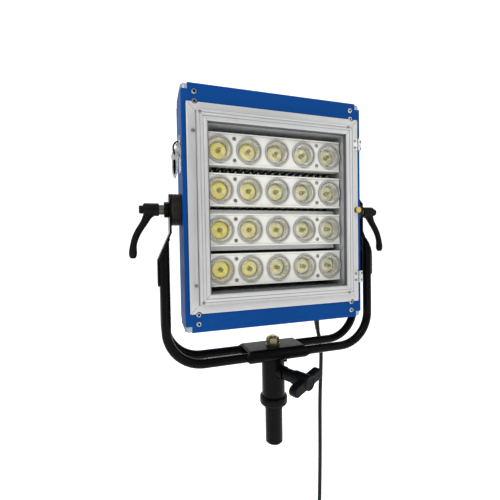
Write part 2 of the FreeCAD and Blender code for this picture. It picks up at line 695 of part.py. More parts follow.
# Keeper: a teardrop plate with a turned-up hook below and a hollow rib above it
keeper = prism(
    [(LATCH_Y - 5, HEAD_Z + 93.5), (LATCH_Y + 5, HEAD_Z + 93.5), (LATCH_Y + 6.5, HEAD_Z + 98),
     (LATCH_Y + 5.5, HEAD_Z + 103), (LATCH_Y + 2, HEAD_Z + 109), (LATCH_Y - 2, HEAD_Z + 109),
     (LATCH_Y - 5.5, HEAD_Z + 103), (LATCH_Y - 6.5, HEAD_Z + 98)],
    "YZ", side_x - 1.6, side_x
)
hook = prism(
    [(side_x, HEAD_Z + 93.6), (side_x - 6.6, HEAD_Z + 93.6), (side_x - 6.6, HEAD_Z + 96.1),
     (side_x - 5.2, HEAD_Z + 96.1), (side_x - 4.9, HEAD_Z + 95.2), (side_x, HEAD_Z + 95.2)],
    "XZ", LATCH_Y - 4, LATCH_Y + 4
)
rib = prism(
    [(side_x, HEAD_Z + 99.8), (side_x - 3.6, HEAD_Z + 99.8), (side_x - 4.6, HEAD_Z + 101.4),
     (side_x - 4.2, HEAD_Z + 103.6), (side_x - 1.8, HEAD_Z + 108.0), (side_x, HEAD_Z + 108.6)],
    "XZ", LATCH_Y - 4, LATCH_Y + 4
)
rib = rib.cut(rod(1.3, (side_x - 2.6, LATCH_Y - 5, HEAD_Z + 102.4), (0, 1, 0), 10))
keeper = keeper.fuse(hook).fuse(rib)
save("latch_keeper", [keeper.removeSplitter()])

# ---------------------------------------------------------------- tilt joints

head_discs = []
yoke_discs = []
studs = []
collars = []
for side in SIDES:
    head_disc = turned(
        [(STUD_R, 0.0), (DISC_R - 1, 0.0), (DISC_R, 1.0), (DISC_R, 2.2), (DISC_R - 0.8, 2.2),
         (DISC_R - 0.8, 3.4), (DISC_R, 3.4), (DISC_R, 4.8), (DISC_R - 0.8, 4.8), (DISC_R - 0.8, 6.0),
         (DISC_R, 6.0), (DISC_R, 8.0), (STUD_R, 8.0)],
        (side * CASE_HALF_W, 0, TILT_Z), (side, 0, 0)
    )
    head_discs.append(head_disc)
    yoke_discs.append(turned(
        [(STUD_R + 0.4, 0.0), (DISC_R, 0.0), (DISC_R, 1.6), (DISC_R - 0.8, 1.6), (DISC_R - 0.8, 2.8),
         (DISC_R, 2.8), (DISC_R, 5.7), (DISC_R - 1, 6.7), (STUD_R + 0.4, 6.7)],
        (side * YOKE_DISC_X, 0, TILT_Z), (side, 0, 0)
    ))
    stud_head = rod(9.0, (side * 138, 0, TILT_Z), (side, 0, 0), 6)
    studs.append(stud_head.fuse(rod(STUD_R, (side * 143, 0, TILT_Z), (side, 0, 0), 45)))
    collars.append(turned(
        [(STUD_R + 0.4, 0.0), (11.0, 0.0), (11.75, 0.8), (11.75, 5.9), (11.0, 6.7), (STUD_R + 0.4, 6.7)],
        (side * (PLATE_IN_X + PLATE_T), 0, TILT_Z), (side, 0, 0)
    ))
save("pivot_blocks", head_discs)
save("friction_pads", yoke_discs)
save("pivot_studs", studs)
save("collars", collars)

# Clamp levers, one each side
LEVER_STATIONS = [
    (190.0, -3.0, 7.6, 7.6), (193.3, -6.0, 6.8, 7.2), (198.0, -15.1, 5.4, 6.2), (203.5, -23.9, 5.0, 5.6),
    (209.1, -33.5, 4.9, 5.3), (212.5, -41.9, 4.8, 5.2), (214.7, -51.3, 4.9, 5.3),
    (215.4, -60.5, 5.7, 5.9), (215.6, -65.5, 5.2, 5.3), (215.6, -69.2, 3.2, 3.4)
]


def lever_arm():
    wires = []
    for i, (x, z, half_wide, half_deep) in enumerate(LEVER_STATIONS):
        before = LEVER_STATIONS[max(i - 1, 0)]
        after = LEVER_STATIONS[min(i + 1, len(LEVER_STATIONS) - 1)]
        way = V(after[0] - before[0], 0, after[1] - before[1])
        way.normalize()
        across = V(-way.z, 0, way.x)
        ring = []
        for step in range(16):
            angle = 2 * math.pi * step / 16
            point = V(x, 0, HEAD_Z + z)
            point = point.add(V(across).multiply(half_wide * math.cos(angle)))
            point = point.add(V(0, half_deep * math.sin(angle), 0))
            ring.append(point)
        curve = Part.BSplineCurve()
        curve.interpolate(ring, PeriodicFlag=True)
        wires.append(Part.Wire([curve.toShape()]))
    return Part.makeLoft(wires, True, False)


handle = rod(9.5, (177.8, 0, TILT_Z), (1, 0, 0), 20.4)
handle = handle.fuse(cone(9.5, 7.5, (198.2, 0, TILT_Z), (1, 0, 0), 2.0))
handle = handle.fuse(turned(
    [(0.0, 0.0), (6.0, 0.0), (6.0, 5.0), (5.0, 6.0), (2.6, 6.0), (2.6, 4.0), (0.0, 4.0)],
    (199.9, 0, TILT_Z), (1, 0, 0)
))
handle = handle.fuse(lever_arm())
handle = handle.cut(rod(6.4, (177, 0, TILT_Z), (1, 0, 0), 20.7))
insert = turned(
    [(STUD_R + 0.05, 0.3), (7.4, 0.3), (7.4, 7.1), (6.4, 7.1), (6.4, 27.0), (0.0, 27.0),
     (0.0, 20.0), (STUD_R + 0.05, 20.0)],
    (170.7, 0, TILT_Z), (1, 0, 0)
)
save("lever_handle_right", [handle])
save("lever_insert_right", [insert])
save("lever_handle_left", [mirrored(handle)])
save("lever_insert_left", [mirrored(insert)])

# ---------------------------------------------------------------- yoke

PLATE_LINE = [(161.0, HEAD_Z + 24), (161.0, HEAD_Z - 33), (179.2, HEAD_Z - 73), (179.2, HEAD_Z - 110)]


def arm_plate():
    outer = [(x + PLATE_T, z) for x, z in PLATE_LINE]
    outer[1] = (PLATE_LINE[1][0] + PLATE_T, PLATE_LINE[1][1] + 0.6)
    outer[2] = (PLATE_LINE[2][0] + PLATE_T, PLATE_LINE[2][1] + 0.6)
    plate = prism(PLATE_LINE + outer[::-1], "XZ", -22, 22)
    top = HEAD_Z + 24
    low = HEAD_Z - 110
    outline = [
        (-22, low + 3), (-19, low), (19, low), (22, low + 3), (22, top - 9), (13, top),
        (-13, top), (-22, top - 9)
    ]
    plate = plate.common(prism(outline, "YZ", 150, 190))
    plate = plate.cut(rod(STUD_R + 0.4, (150, 0, TILT_Z), (1, 0, 0), 30))
    return plate


def bent_tube(radius, y):
    straight = TUBE_X - BEND_R
    top = HEAD_Z - 36
    pieces = [rod(radius, (-straight, y, TUBE_Z), (1, 0, 0), 2 * straight)]
    for side in SIDES:
        pieces.append(rod(radius, (side * TUBE_X, y, TUBE_Z + BEND_R), (0, 0, 1), top - TUBE_Z - BEND_R))
        bend = Part.makeTorus(BEND_R, radius, V(side * straight, y, TUBE_Z + BEND_R), AXIS_Y)
        lo, hi = sorted((side * straight, side * (TUBE_X + 10)))
        pieces.append(bend.common(block(lo, hi, y - 12, y + 12, TUBE_Z - 12, TUBE_Z + BEND_R)))
    return fuse_all(pieces)


plate_right = arm_plate()
plate_left = mirrored(plate_right)
save("arm_plates", [plate_left, plate_right])

mitre = prism(
    [PLATE_LINE[1], PLATE_LINE[2], (210, PLATE_LINE[2][1]), (210, HEAD_Z + 30), (150, HEAD_Z + 30),
     (150, PLATE_LINE[1][1])],
    "XZ", -40, 40
)
for name, y in (("yoke_tube_front", -TUBE_Y), ("yoke_tube_rear", TUBE_Y)):
    shape = bent_tube(TUBE_R, y).cut(bent_tube(TUBE_R - TUBE_WALL, y))
    shape = shape.cut(mitre).cut(mirrored(mitre))
    save(name, [shape])


def stadium(radius):
    flat = block(-CLAMP_HALF_W, CLAMP_HALF_W, -TUBE_Y, TUBE_Y, TUBE_Z - radius, TUBE_Z + radius)
    ends = []
    for side in SIDES:
        ends.append(rod(radius, (-CLAMP_HALF_W, side * TUBE_Y, TUBE_Z), (1, 0, 0), 2 * CLAMP_HALF_W))
    return fuse_all([flat] + ends)


shell = stadium(CLAMP_OUT_R).cut(stadium(TUBE_R))
slopes = prism(
    [(-46, TUBE_Z + 10), (46, TUBE_Z + 10), (54, TUBE_Z + 3), (54, TUBE_Z - 3), (46, TUBE_Z - 10),
     (-46, TUBE_Z - 10), (-54, TUBE_Z - 3), (-54, TUBE_Z + 3)],
    "XZ", -40, 40
)
shell = shell.common(slopes)
shell = shell.cut(rod(BOLT_R, (0, 0, 80), (0, 0, 1), 30))
upper = shell.cut(block(-60, 60, -40, 40, 70, TUBE_Z + 0.3))
lower = shell.cut(block(-60, 60, -40, 40, TUBE_Z - 0.3, 120))
for y in (-9.0, 9.0):
    groove = block(-38, 38, y - 1.5, y + 1.5, TUBE_Z - 10.1, TUBE_Z - 8.8)
    lower = lower.cut(groove)
save("clamp_plate_top", [upper])
save("clamp_plate_bottom", [lower])

spacer = tube(9.0, BOLT_R, (0, 0, TUBE_Z - TUBE_R), (0, 0, 1), 2 * TUBE_R)
save("clamp_spacer", [spacer])

bolt = rod(BOLT_R, (0, 0, 74.5), (0, 0, 1), 43.5)
bolt = bolt.fuse(cone(BOLT_R, 4.8, (0, 0, 118.0), (0, 0, 1), 1.6))
save("centre_bolt", [bolt])

ACROSS = 19.0
nut = turned(
    [(BOLT_R, 0.0), (12.0, 0.0), (12.0, 1.4), (10.6, 2.6), (12.0, 4.0), (12.0, 10.6), (9.4, 12.5),
     (BOLT_R, 12.5)],
    (0, 0, 104.5), (0, 0, 1)
)
for i in range(6):
    flat = block(ACROSS / 2, 16, -14, 14, 104.5 + 2.4, 120)
    flat.rotate(V(0, 0, 0), AXIS_Z, 60 * i + 15)
    nut = nut.cut(flat)
save("centre_nut", [nut])

# ---------------------------------------------------------------- spigot

spigot = turned(
    [(SOCKET_R, PIN_BOTTOM), (PIN_R - 2.0, PIN_BOTTOM), (PIN_R, PIN_BOTTOM + 2.0), (PIN_R, 0.0),
     (SHOULDER_R, 0.0), (SHOULDER_R, RING_LOW), (RING_R - 3.0, RING_LOW), (RING_R - 0.9, RING_LOW + 0.9),
     (RING_R, RING_LOW + 3.0), (RING_R, RING_TOP - 3.0), (RING_R - 0.9, RING_TOP - 0.9),
     (RING_R - 3.0, RING_TOP), (BODY_R, RING_TOP), (BODY_R, BODY_TOP - 1.0), (BODY_R - 1.0, BODY_TOP),
     (BOLT_R, BODY_TOP), (BOLT_R, 74.5), (0.0, 74.5), (0.0, SOCKET_TOP), (SOCKET_R, SOCKET_TOP)],
    (0, 0, 0), (0, 0, 1)
)
wing_way = (math.sin(math.radians(WING_ANGLE)), -math.cos(math.radians(WING_ANGLE)), 0)
WING_BORE_R = 6.0
boss = rod(11.0, (0, 0, WING_Z), wing_way, 26.0).cut(rod(BODY_R - 2, (0, 0, 30), (0, 0, 1), 60))
spigot = spigot.fuse(boss)
spigot = spigot.cut(rod(WING_BORE_R, (0, 0, WING_Z), wing_way, 40.0))
LOCK_ANGLE = 25.0
LOCK_Z = 79.6
lock_way = (math.cos(math.radians(LOCK_ANGLE)), -math.sin(math.radians(LOCK_ANGLE)), 0)
lock_seat = BODY_R - 0.8
lock_tip = BOLT_R + 0.3
spigot = spigot.cut(turned(
    [(0.0, lock_tip), (3.0, lock_tip), (3.0, lock_seat), (4.6, lock_seat), (4.6, 30.0), (0.0, 30.0)],
    (0, 0, LOCK_Z), lock_way
))
save("spigot", [spigot.removeSplitter()])
lock_end = BODY_R + 4.6
save("lock_screw", [turned(
    [(0.0, lock_tip), (3.0, lock_tip), (3.0, lock_seat), (4.3, lock_seat), (4.3, lock_end - 1.2),
     (3.1, lock_end), (1.6, lock_end), (1.6, lock_end - 2.0), (0.0, lock_end - 2.0)],
    (0, 0, LOCK_Z), lock_way
)])


def along(distance):
    return (wing_way[0] * distance, wing_way[1] * distance, WING_Z)


SCREW_TIP = SOCKET_R + 0.5
SCREW_LONG = 35.0
screw = turned(
    [(0.0, 0.0), (4.6, 0.0), (WING_BORE_R - 0.05, 1.4), (WING_BORE_R - 0.05, SCREW_LONG),
     (0.0, SCREW_LONG)],
    along(SCREW_TIP), wing_way
)
save("wing_screw", [screw])

HUB_START = 28.5
HUB_LONG = 35.0
BOSS_R = 11.5
WING_HALF = 27.0
WING_R = 8.0
WING_DEEP = 13.0
# Hub on the screw, wing bar with round ends, and the round boss in front of it
hub = turned(
    [(0.0, 16.0), (WING_BORE_R, 16.0), (WING_BORE_R, 0.0), (9.0, 0.0), (9.8, 1.0), (9.8, 14.0),
     (BOSS_R, 20.0), (BOSS_R, HUB_LONG), (0.0, HUB_LONG)],
    along(HUB_START), wing_way
)
screw_end = SCREW_TIP + SCREW_LONG
wing = block(-WING_HALF, WING_HALF, 0, WING_DEEP, -WING_R, WING_R)
wing = wing.fuse(rod(WING_R, (-WING_HALF, 0, 0), (0, 1, 0), WING_DEEP))
wing = wing.fuse(rod(WING_R, (WING_HALF, 0, 0), (0, 1, 0), WING_DEEP)).removeSplitter()
rims = [e for e in wing.Edges if abs(e.BoundBox.YMax - e.BoundBox.YMin) < 0.01]
wing = wing.makeFillet(2.0, rims)
wing.rotate(V(0, 0, 0), AXIS_Y, WING_TILT)
wing.rotate(V(0, 0, 0), AXIS_Z, WING_ANGLE - 180)
wing.translate(V(*along(HUB_START + HUB_LONG - 1.0)))
hub = hub.fuse(wing)
hub = hub.fuse(turned(
    [(0.0, 0.0), (BOSS_R, 0.0), (BOSS_R, 14.2), (BOSS_R - 0.9, 15.2), (BOSS_R - 2.1, 15.2),
     (BOSS_R - 2.7, 14.4), (0.0, 14.4)],
    along(HUB_START + HUB_LONG - 2.0), wing_way
))
hub = hub.cut(rod(WING_BORE_R, along(20), wing_way, screw_end - 20.0))
save("wing_knob", [hub.removeSplitter()])

# ---------------------------------------------------------------- mains cord

CORD_ROUTE = [
    V(GLAND_X, CORD_Y, GLAND_LOW), V(GLAND_X, CORD_Y, 112.0), V(122.0, CORD_Y, 70.0),
    V(120.5, CORD_Y, 22.0), V(117.6, CORD_Y, -36.0), V(117.3, CORD_Y, -95.0),
    V(116.6, CORD_Y, -154.0), V(115.2, CORD_Y, -212.0), V(115.0, CORD_Y, -282.5)
]


def cord_wire(route):
    # Straight runs joined by arcs that touch them at each inner point
    edges = []
    radii = []
    start = route[0]
    for before, here, after in zip(route, route[1:], route[2:]):
        back_way = before.sub(here)
        on_way = after.sub(here)
        short = min(back_way.Length, on_way.Length)
        turn = math.pi - back_way.getAngle(on_way)
        radius = 0.45 * short / math.tan(turn / 2)
        radii.append(radius)
        reach = 0.45 * short
        unit_back = V(back_way).normalize()
        unit_on = V(on_way).normalize()
        enter = here.add(V(unit_back).multiply(reach))
        leave = here.add(V(unit_on).multiply(reach))
        middle_way = unit_back.add(unit_on).normalize()
        hinge = radius / math.cos(turn / 2)
        middle = here.add(V(middle_way).multiply(hinge - radius))
        edges.append(Part.LineSegment(start, enter).toShape())
        edges.append(Part.Arc(enter, middle, leave).toShape())
        start = leave
    edges.append(Part.LineSegment(start, route[-1]).toShape())
    return Part.Wire(edges), radii


wire, radii = cord_wire(CORD_ROUTE)
section = Part.Wire([Part.makeCircle(CORD_R, CORD_ROUTE[0], V(0, 0, -1))])
cord = wire.makePipeShell([section], True, False)
save("cord_tube", [cord])
print("cord radii", [round(radius) for radius in radii])
print("cord length %.1f, section x length %.0f, volume %.0f" % (
    wire.Length, wire.Length * math.pi * CORD_R ** 2, cord.Volume
))

# Spare cord tied in a hanging coil, and the plug below it
COIL_MID_R = 36.0
COIL_SECTION_R = 15.8
COIL_Z = -313.5
COIL_X = CORD_ROUTE[-1].x + COIL_MID_R
coil = Part.makeTorus(COIL_MID_R, COIL_SECTION_R, V(COIL_X, CORD_Y, COIL_Z), AXIS_Y)
save("cord_coil", [coil])
plug_top = COIL_Z - 33.0
PLUG_X = CORD_ROUTE[-1].x
PLUG_BODY = 60.0
PIN_RADIUS = 2.2
PIN_LENGTH = 17.0
plug = turned(
    [(0.0, 0.0), (4.4, 0.0), (5.8, 24.0), (12.0, 30.0), (15.0, 36.0), (16.5, PLUG_BODY - 2),
     (15.5, PLUG_BODY), (0.0, PLUG_BODY)],
    (PLUG_X, CORD_Y, plug_top), (0, 0, -1)
)
for dx, dy in ((0.0, 6.5), (-6.0, -4.5), (6.0, -4.5)):
    foot = (PLUG_X + dx, CORD_Y + dy, plug_top - PLUG_BODY)
    plug = plug.fuse(rod(PIN_RADIUS, foot, (0, 0, -1), PIN_LENGTH))
save("mains_plug", [plug])
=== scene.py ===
import bmesh
import bpy
import json
import math
from mathutils import Matrix, Vector


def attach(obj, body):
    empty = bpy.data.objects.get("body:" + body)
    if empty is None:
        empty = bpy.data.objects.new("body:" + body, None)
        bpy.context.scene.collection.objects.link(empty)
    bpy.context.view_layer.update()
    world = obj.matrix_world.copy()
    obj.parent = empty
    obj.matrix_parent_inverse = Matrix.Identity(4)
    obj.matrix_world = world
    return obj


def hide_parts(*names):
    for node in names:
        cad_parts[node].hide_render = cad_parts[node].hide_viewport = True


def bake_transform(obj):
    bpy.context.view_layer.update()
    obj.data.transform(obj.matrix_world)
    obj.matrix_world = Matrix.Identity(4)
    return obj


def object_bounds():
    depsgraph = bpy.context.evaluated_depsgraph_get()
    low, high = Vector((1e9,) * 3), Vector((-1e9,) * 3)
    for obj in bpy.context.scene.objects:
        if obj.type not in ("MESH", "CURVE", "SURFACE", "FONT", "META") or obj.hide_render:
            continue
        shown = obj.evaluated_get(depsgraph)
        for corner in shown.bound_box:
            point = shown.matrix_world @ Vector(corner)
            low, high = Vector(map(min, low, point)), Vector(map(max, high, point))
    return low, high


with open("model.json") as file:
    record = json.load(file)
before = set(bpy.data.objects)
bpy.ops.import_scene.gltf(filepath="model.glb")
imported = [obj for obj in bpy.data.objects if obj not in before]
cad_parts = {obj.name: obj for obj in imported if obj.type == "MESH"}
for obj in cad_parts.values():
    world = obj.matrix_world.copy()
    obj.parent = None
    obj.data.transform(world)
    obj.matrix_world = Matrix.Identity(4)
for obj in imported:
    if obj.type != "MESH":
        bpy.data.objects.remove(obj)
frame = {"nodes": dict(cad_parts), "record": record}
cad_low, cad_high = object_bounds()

# Sizes are in millimetres, as in the CAD, and MM turns them into Blender's metres.
NODES = frame["nodes"]
MM = 0.001
HEAD_Z = 324.0
BACK_Y = 37.0
LENS_PITCH_X = 45.5
LENS_PITCH_Z = 59.4
LENS_EDGE_RADIUS = 18.0
FLOOR_RADIUS = 13.4
TO_BACK = (0.0, 1.0, 0.0)
TO_FRONT = (0.0, -1.0, 0.0)


# ---------------------------------------------------------------- camera

# A view from the front left, a little below the middle of the head, turned to the right
CAMERA_PLACE = Vector((-189.5, -485.7, 276.6)) * MM
CAMERA_YAW = math.radians(17.42)
CAMERA_PITCH = math.radians(-1.56)
CAMERA_ROLL = math.radians(-0.99)
CAMERA_LENS = 22.57


def make_camera():
    # Yaw is from straight ahead towards the right, pitch is upwards, roll is about the view
    yaw, pitch, roll = CAMERA_YAW, CAMERA_PITCH, CAMERA_ROLL
    ahead = Vector((math.sin(yaw) * math.cos(pitch), math.cos(yaw) * math.cos(pitch), math.sin(pitch)))
    level = Vector((math.cos(yaw), -math.sin(yaw), 0.0))
    up = level.cross(ahead)
    right = level * math.cos(roll) + up * math.sin(roll)
    top = up * math.cos(roll) - level * math.sin(roll)
    data = bpy.data.cameras.new("camera")
    data.lens = CAMERA_LENS
    data.sensor_width = 36.0
    data.clip_start = 0.01
    data.clip_end = 50.0
    camera = bpy.data.objects.new("camera", data)
    turn = Matrix((right, top, -ahead)).transposed().to_4x4()
    camera.matrix_world = Matrix.Translation(CAMERA_PLACE) @ turn
    bpy.context.scene.collection.objects.link(camera)
    bpy.context.scene.camera = camera


make_camera()


# ---------------------------------------------------------------- materials

def srgb(red, green, blue):
    # A colour as a screen shows it, in the linear values that the shader wants
    def linear(value):
        share = value / 255.0
        return share / 12.92 if share <= 0.04045 else ((share + 0.055) / 1.055) ** 2.4
    return (linear(red), linear(green), linear(blue), 1.0)


def shade(colour, factor):
    return tuple(min(1.0, part * factor) for part in colour[:3]) + (1.0,)


# Painted shade in crevices: reach in metres, and the share of open sky where it starts and ends
CREVICE_SHADE_REACH = 0.003
CREVICE_SHADE_SHUT = 0.35
CREVICE_SHADE_OPEN = 0.8
WHITE = (1.0, 1.0, 1.0, 1.0)
DARK = (0.0, 0.0, 0.0, 1.0)


class Finish:
    """A procedural material on a Principled shader, in the object's own coordinates."""

    def __init__(self, name, metallic=0.0, specular=0.5):
        self.material = bpy.data.materials.new(name)
        self.material.use_nodes = True
        self.tree = self.material.node_tree
        self.tree.nodes.clear()
        self.shader = self.add("ShaderNodeBsdfPrincipled")
        output = self.add("ShaderNodeOutputMaterial")
        self.link(self.shader.outputs["BSDF"], output.inputs["Surface"])
        self.shader.inputs["Metallic"].default_value = metallic
        self.shader.inputs["Specular IOR Level"].default_value = specular
        self.place = self.add("ShaderNodeTexCoord").outputs["Object"]

    def add(self, kind):
        return self.tree.nodes.new(kind)

    def link(self, start, end):
        self.tree.links.new(start, end)

    def stretched(self, scale, turn=(0.0, 0.0, 0.0)):
        mapping = self.add("ShaderNodeMapping")
        mapping.inputs["Scale"].default_value = scale
        mapping.inputs["Rotation"].default_value = turn
        self.link(self.place, mapping.inputs["Vector"])
        return mapping.outputs["Vector"]

    def noise(self, scale, detail=3.0, stretch=None):
        node = self.add("ShaderNodeTexNoise")
        node.inputs["Scale"].default_value = scale
        node.inputs["Detail"].default_value = detail
        self.link(self.stretched(stretch) if stretch else self.place, node.inputs["Vector"])
        return node.outputs["Fac"]

    def bands(self, pitch, direction, turn=(0.0, 0.0, 0.0)):
        # Waves at a pitch in metres
        node = self.add("ShaderNodeTexWave")
        node.wave_type = "BANDS"
        node.bands_direction = direction
        node.inputs["Scale"].default_value = math.pi / (10.0 * pitch)
        self.link(self.stretched((1.0, 1.0, 1.0), turn), node.inputs["Vector"])
        return node.outputs["Fac"]

    def span(self, value, low, high, start=0.3, end=0.7):
        node = self.add("ShaderNodeMapRange")
        node.inputs["From Min"].default_value = start
        node.inputs["From Max"].default_value = end
        node.inputs["To Min"].default_value = low
        node.inputs["To Max"].default_value = high
        self.link(value, node.inputs["Value"])
        return node.outputs["Result"]

    def ramp(self, value, stops):
        node = self.add("ShaderNodeValToRGB")
        ramp = node.color_ramp
        ramp.elements[0].position = stops[0][0]
        ramp.elements[0].color = stops[0][1]
        ramp.elements[1].position = stops[-1][0]
        ramp.elements[1].color = stops[-1][1]
        for position, colour in stops[1:-1]:
            ramp.elements.new(position).color = colour
        self.link(value, node.inputs["Fac"])
        return node.outputs["Color"]

    def along(self, axis):
        # One coordinate of the place, in metres
        parts = self.add("ShaderNodeSeparateXYZ")
        self.link(self.place, parts.inputs["Vector"])
        return parts.outputs[axis]

    def maths(self, kind, first, second=0.0):
        node = self.add("ShaderNodeMath")
        node.operation = kind
        self.link(first, node.inputs[0])
        if isinstance(second, float):
            node.inputs[1].default_value = second
        else:
            self.link(second, node.inputs[1])
        return node.outputs["Value"]

    def mixed(self, share, first, second, kind="MIX"):
        node = self.add("ShaderNodeMix")
        node.data_type = "RGBA"
        node.blend_type = kind
        if isinstance(share, float):
            node.inputs[0].default_value = share
        else:
            self.link(share, node.inputs[0])
        for value, socket in ((first, node.inputs[6]), (second, node.inputs[7])):
            if isinstance(value, tuple):
                socket.default_value = value
            else:
                self.link(value, socket)
        return node.outputs[2]

    def painted_crevice_shade(self, darkest_shade):
        # Painted shade that darkens narrow corners, by how little open sky they see
        node = self.add("ShaderNodeAmbientOcclusion")
        node.samples = 4
        node.inputs["Distance"].default_value = CREVICE_SHADE_REACH
        share = self.span(node.outputs["AO"], darkest_shade, 1.0, CREVICE_SHADE_SHUT, CREVICE_SHADE_OPEN)
        return self.ramp(share, [(0.0, DARK), (1.0, WHITE)])

    def colour(self, value, stops, darkest_shade=0.55):
        # Base colour from a value, with painted shade making it darker by up to the given share in
        # corners
        shaded = self.mixed(1.0, self.ramp(value, stops), self.painted_crevice_shade(darkest_shade), "MULTIPLY")
        self.link(shaded, self.shader.inputs["Base Color"])

    def roughness(self, value, low, high):
        self.link(self.span(value, low, high), self.shader.inputs["Roughness"])

    def bump(self, value, strength, distance):
        # Distance is the height of the bumps in metres
        node = self.add("ShaderNodeBump")
        node.inputs["Strength"].default_value = strength
        node.inputs["Distance"].default_value = distance
        self.link(value, node.inputs["Height"])
        self.link(node.outputs["Normal"], self.shader.inputs["Normal"])


def two_tones(colour, spread):
    # Ramp stops a little under and over a colour
    return [(0.3, shade(colour, 1 - spread)), (0.7, shade(colour, 1 + spread))]


def powder_coat(name, colour, spread=0.12, low=0.32, high=0.46, grain=900.0, strength=0.16,
                specular=0.5):
    finish = Finish(name, specular=specular)
    finish.colour(finish.noise(9.0, 4.0), two_tones(colour, spread))
    finish.roughness(finish.noise(34.0, 3.0), low, high)
    finish.bump(finish.noise(grain, 2.0), strength, 0.0004)
    return finish.material


def bare_metal(name, colour, spread=0.08, low=0.25, high=0.42, along=(1, 1, 1), grain=500.0,
               strength=0.1, metallic=1.0):
    finish = Finish(name, metallic=metallic)
    brushed = finish.noise(grain, 3.0, along)
    finish.colour(finish.noise(24.0, 4.0), two_tones(colour, spread))
    finish.roughness(brushed, low, high)
    finish.bump(brushed, strength, 0.0002)
    return finish.material


def threaded(name, colour, pitch, direction, turn=(0.0, 0.0, 0.0)):
    finish = Finish(name, metallic=1.0)
    finish.colour(finish.noise(60.0), [(0.3, shade(colour, 0.85)), (0.7, shade(colour, 1.1))])
    finish.roughness(finish.noise(90.0), 0.28, 0.42)
    finish.bump(finish.bands(pitch, direction, turn), 0.9, 0.0006)
    return finish.material


def moulded(name, colour, spread=0.15, low=0.38, high=0.55, grain=700.0, strength=0.2, specular=0.4):
    finish = Finish(name, specular=specular)
    finish.colour(finish.noise(30.0, 3.0), two_tones(colour, spread))
    finish.roughness(finish.noise(60.0, 2.0), low, high)
    finish.bump(finish.noise(grain, 2.0), strength, 0.0003)
    return finish.material


def grey(level):
    return (level, level, level, 1.0)


def lens_reach(finish):
    # Distance in metres from the middle of the nearest lens, by folding the panel on its pitch
    # The many pitches keep the folded value above zero, and the half one centres it
    many_pitches = 100.5
    squares = []
    for axis, pitch, shift in (("X", LENS_PITCH_X, 0.0), ("Z", LENS_PITCH_Z, HEAD_Z + LENS_PITCH_Z / 2)):
        moved = finish.maths("ADD", finish.along(axis), (pitch * many_pitches - shift) * MM)
        local = finish.maths("ADD", finish.maths("MODULO", moved, pitch * MM), -pitch / 2 * MM)
        squares.append(finish.maths("MULTIPLY", local, local))
    return finish.maths("SQRT", finish.maths("ADD", squares[0], squares[1]))


def clear_plastic_painted_rings(name):
    # Thin where it is flat, with painted highlights: whiter, more solid rings stand in for light caught
    # by the moulded rings
    finish = Finish(name, specular=0.6)
    finish.colour(finish.noise(90.0), [(0.3, srgb(190, 190, 184)), (0.7, srgb(238, 238, 234))], 1.0)
    finish.roughness(finish.noise(120.0), 0.04, 0.1)
    outward = finish.span(lens_reach(finish), 0.0, 1.0, 0.0, LENS_EDGE_RADIUS * MM)
    # Painted highlight: solid bands at the ring radii show as bright rings
    rings = finish.ramp(outward, [
        (0.0, grey(0.2)), (0.3, grey(0.05)), (0.36, grey(0.5)), (0.43, grey(0.1)),
        (0.72, grey(0.16)), (0.8, grey(0.66)), (0.88, grey(0.16)), (1.0, grey(0.5))
    ])
    cloud = finish.ramp(finish.noise(70.0, 2.0), [(0.4, grey(0.3)), (0.6, WHITE)])
    finish.link(finish.mixed(1.0, rings, cloud, "MULTIPLY"), finish.shader.inputs["Alpha"])
    finish.bump(finish.noise(50.0, 1.0), 0.12, 0.0008)
    return finish.material


def phosphor_with_painted_fade(name):
    # The yellow layer on the floors of the lenses: strongest in the middle of each lens, and paler from
    # one side of the panel to the other as painted light, standing in for how much yellow the lenses
    # show from the left front
    finish = Finish(name, specular=0.4)
    half_panel = 100.0 * MM
    edge = finish.span(lens_reach(finish), 0.0, 1.0, 7.0 * MM, FLOOR_RADIUS * MM)
    # Painted light: the fade across the panel stands in for how the lenses show the yellow from the left
    # front
    across = finish.span(finish.along("X"), 0.0, 1.0, -half_panel, half_panel)
    yellow_painted_fade = finish.ramp(across, [
        (0.05, srgb(252, 236, 110)), (0.3, srgb(246, 234, 146)), (0.55, srgb(238, 230, 168)),
        (0.95, srgb(228, 224, 172))
    ])
    rim_painted_fade = finish.ramp(across, [
        (0.05, srgb(238, 224, 130)), (0.4, srgb(206, 202, 158)), (0.9, srgb(184, 184, 160))
    ])
    blended = finish.mixed(edge, yellow_painted_fade, rim_painted_fade)
    cloudy = finish.ramp(finish.noise(140.0, 2.0), [(0.3, (0.86, 0.86, 0.82, 1)), (0.7, WHITE)])
    finish.link(finish.mixed(1.0, blended, cloudy, "MULTIPLY"), finish.shader.inputs["Base Color"])
    finish.roughness(finish.noise(60.0), 0.35, 0.5)
    return finish.material


BLUE = srgb(14, 64, 128)
SILVER = srgb(188, 189, 188)
BLACK = srgb(22, 22, 24)
WING_TURN = (0.0, 0.0, math.radians(65.0))
THREAD_PITCH = 1.75 * MM

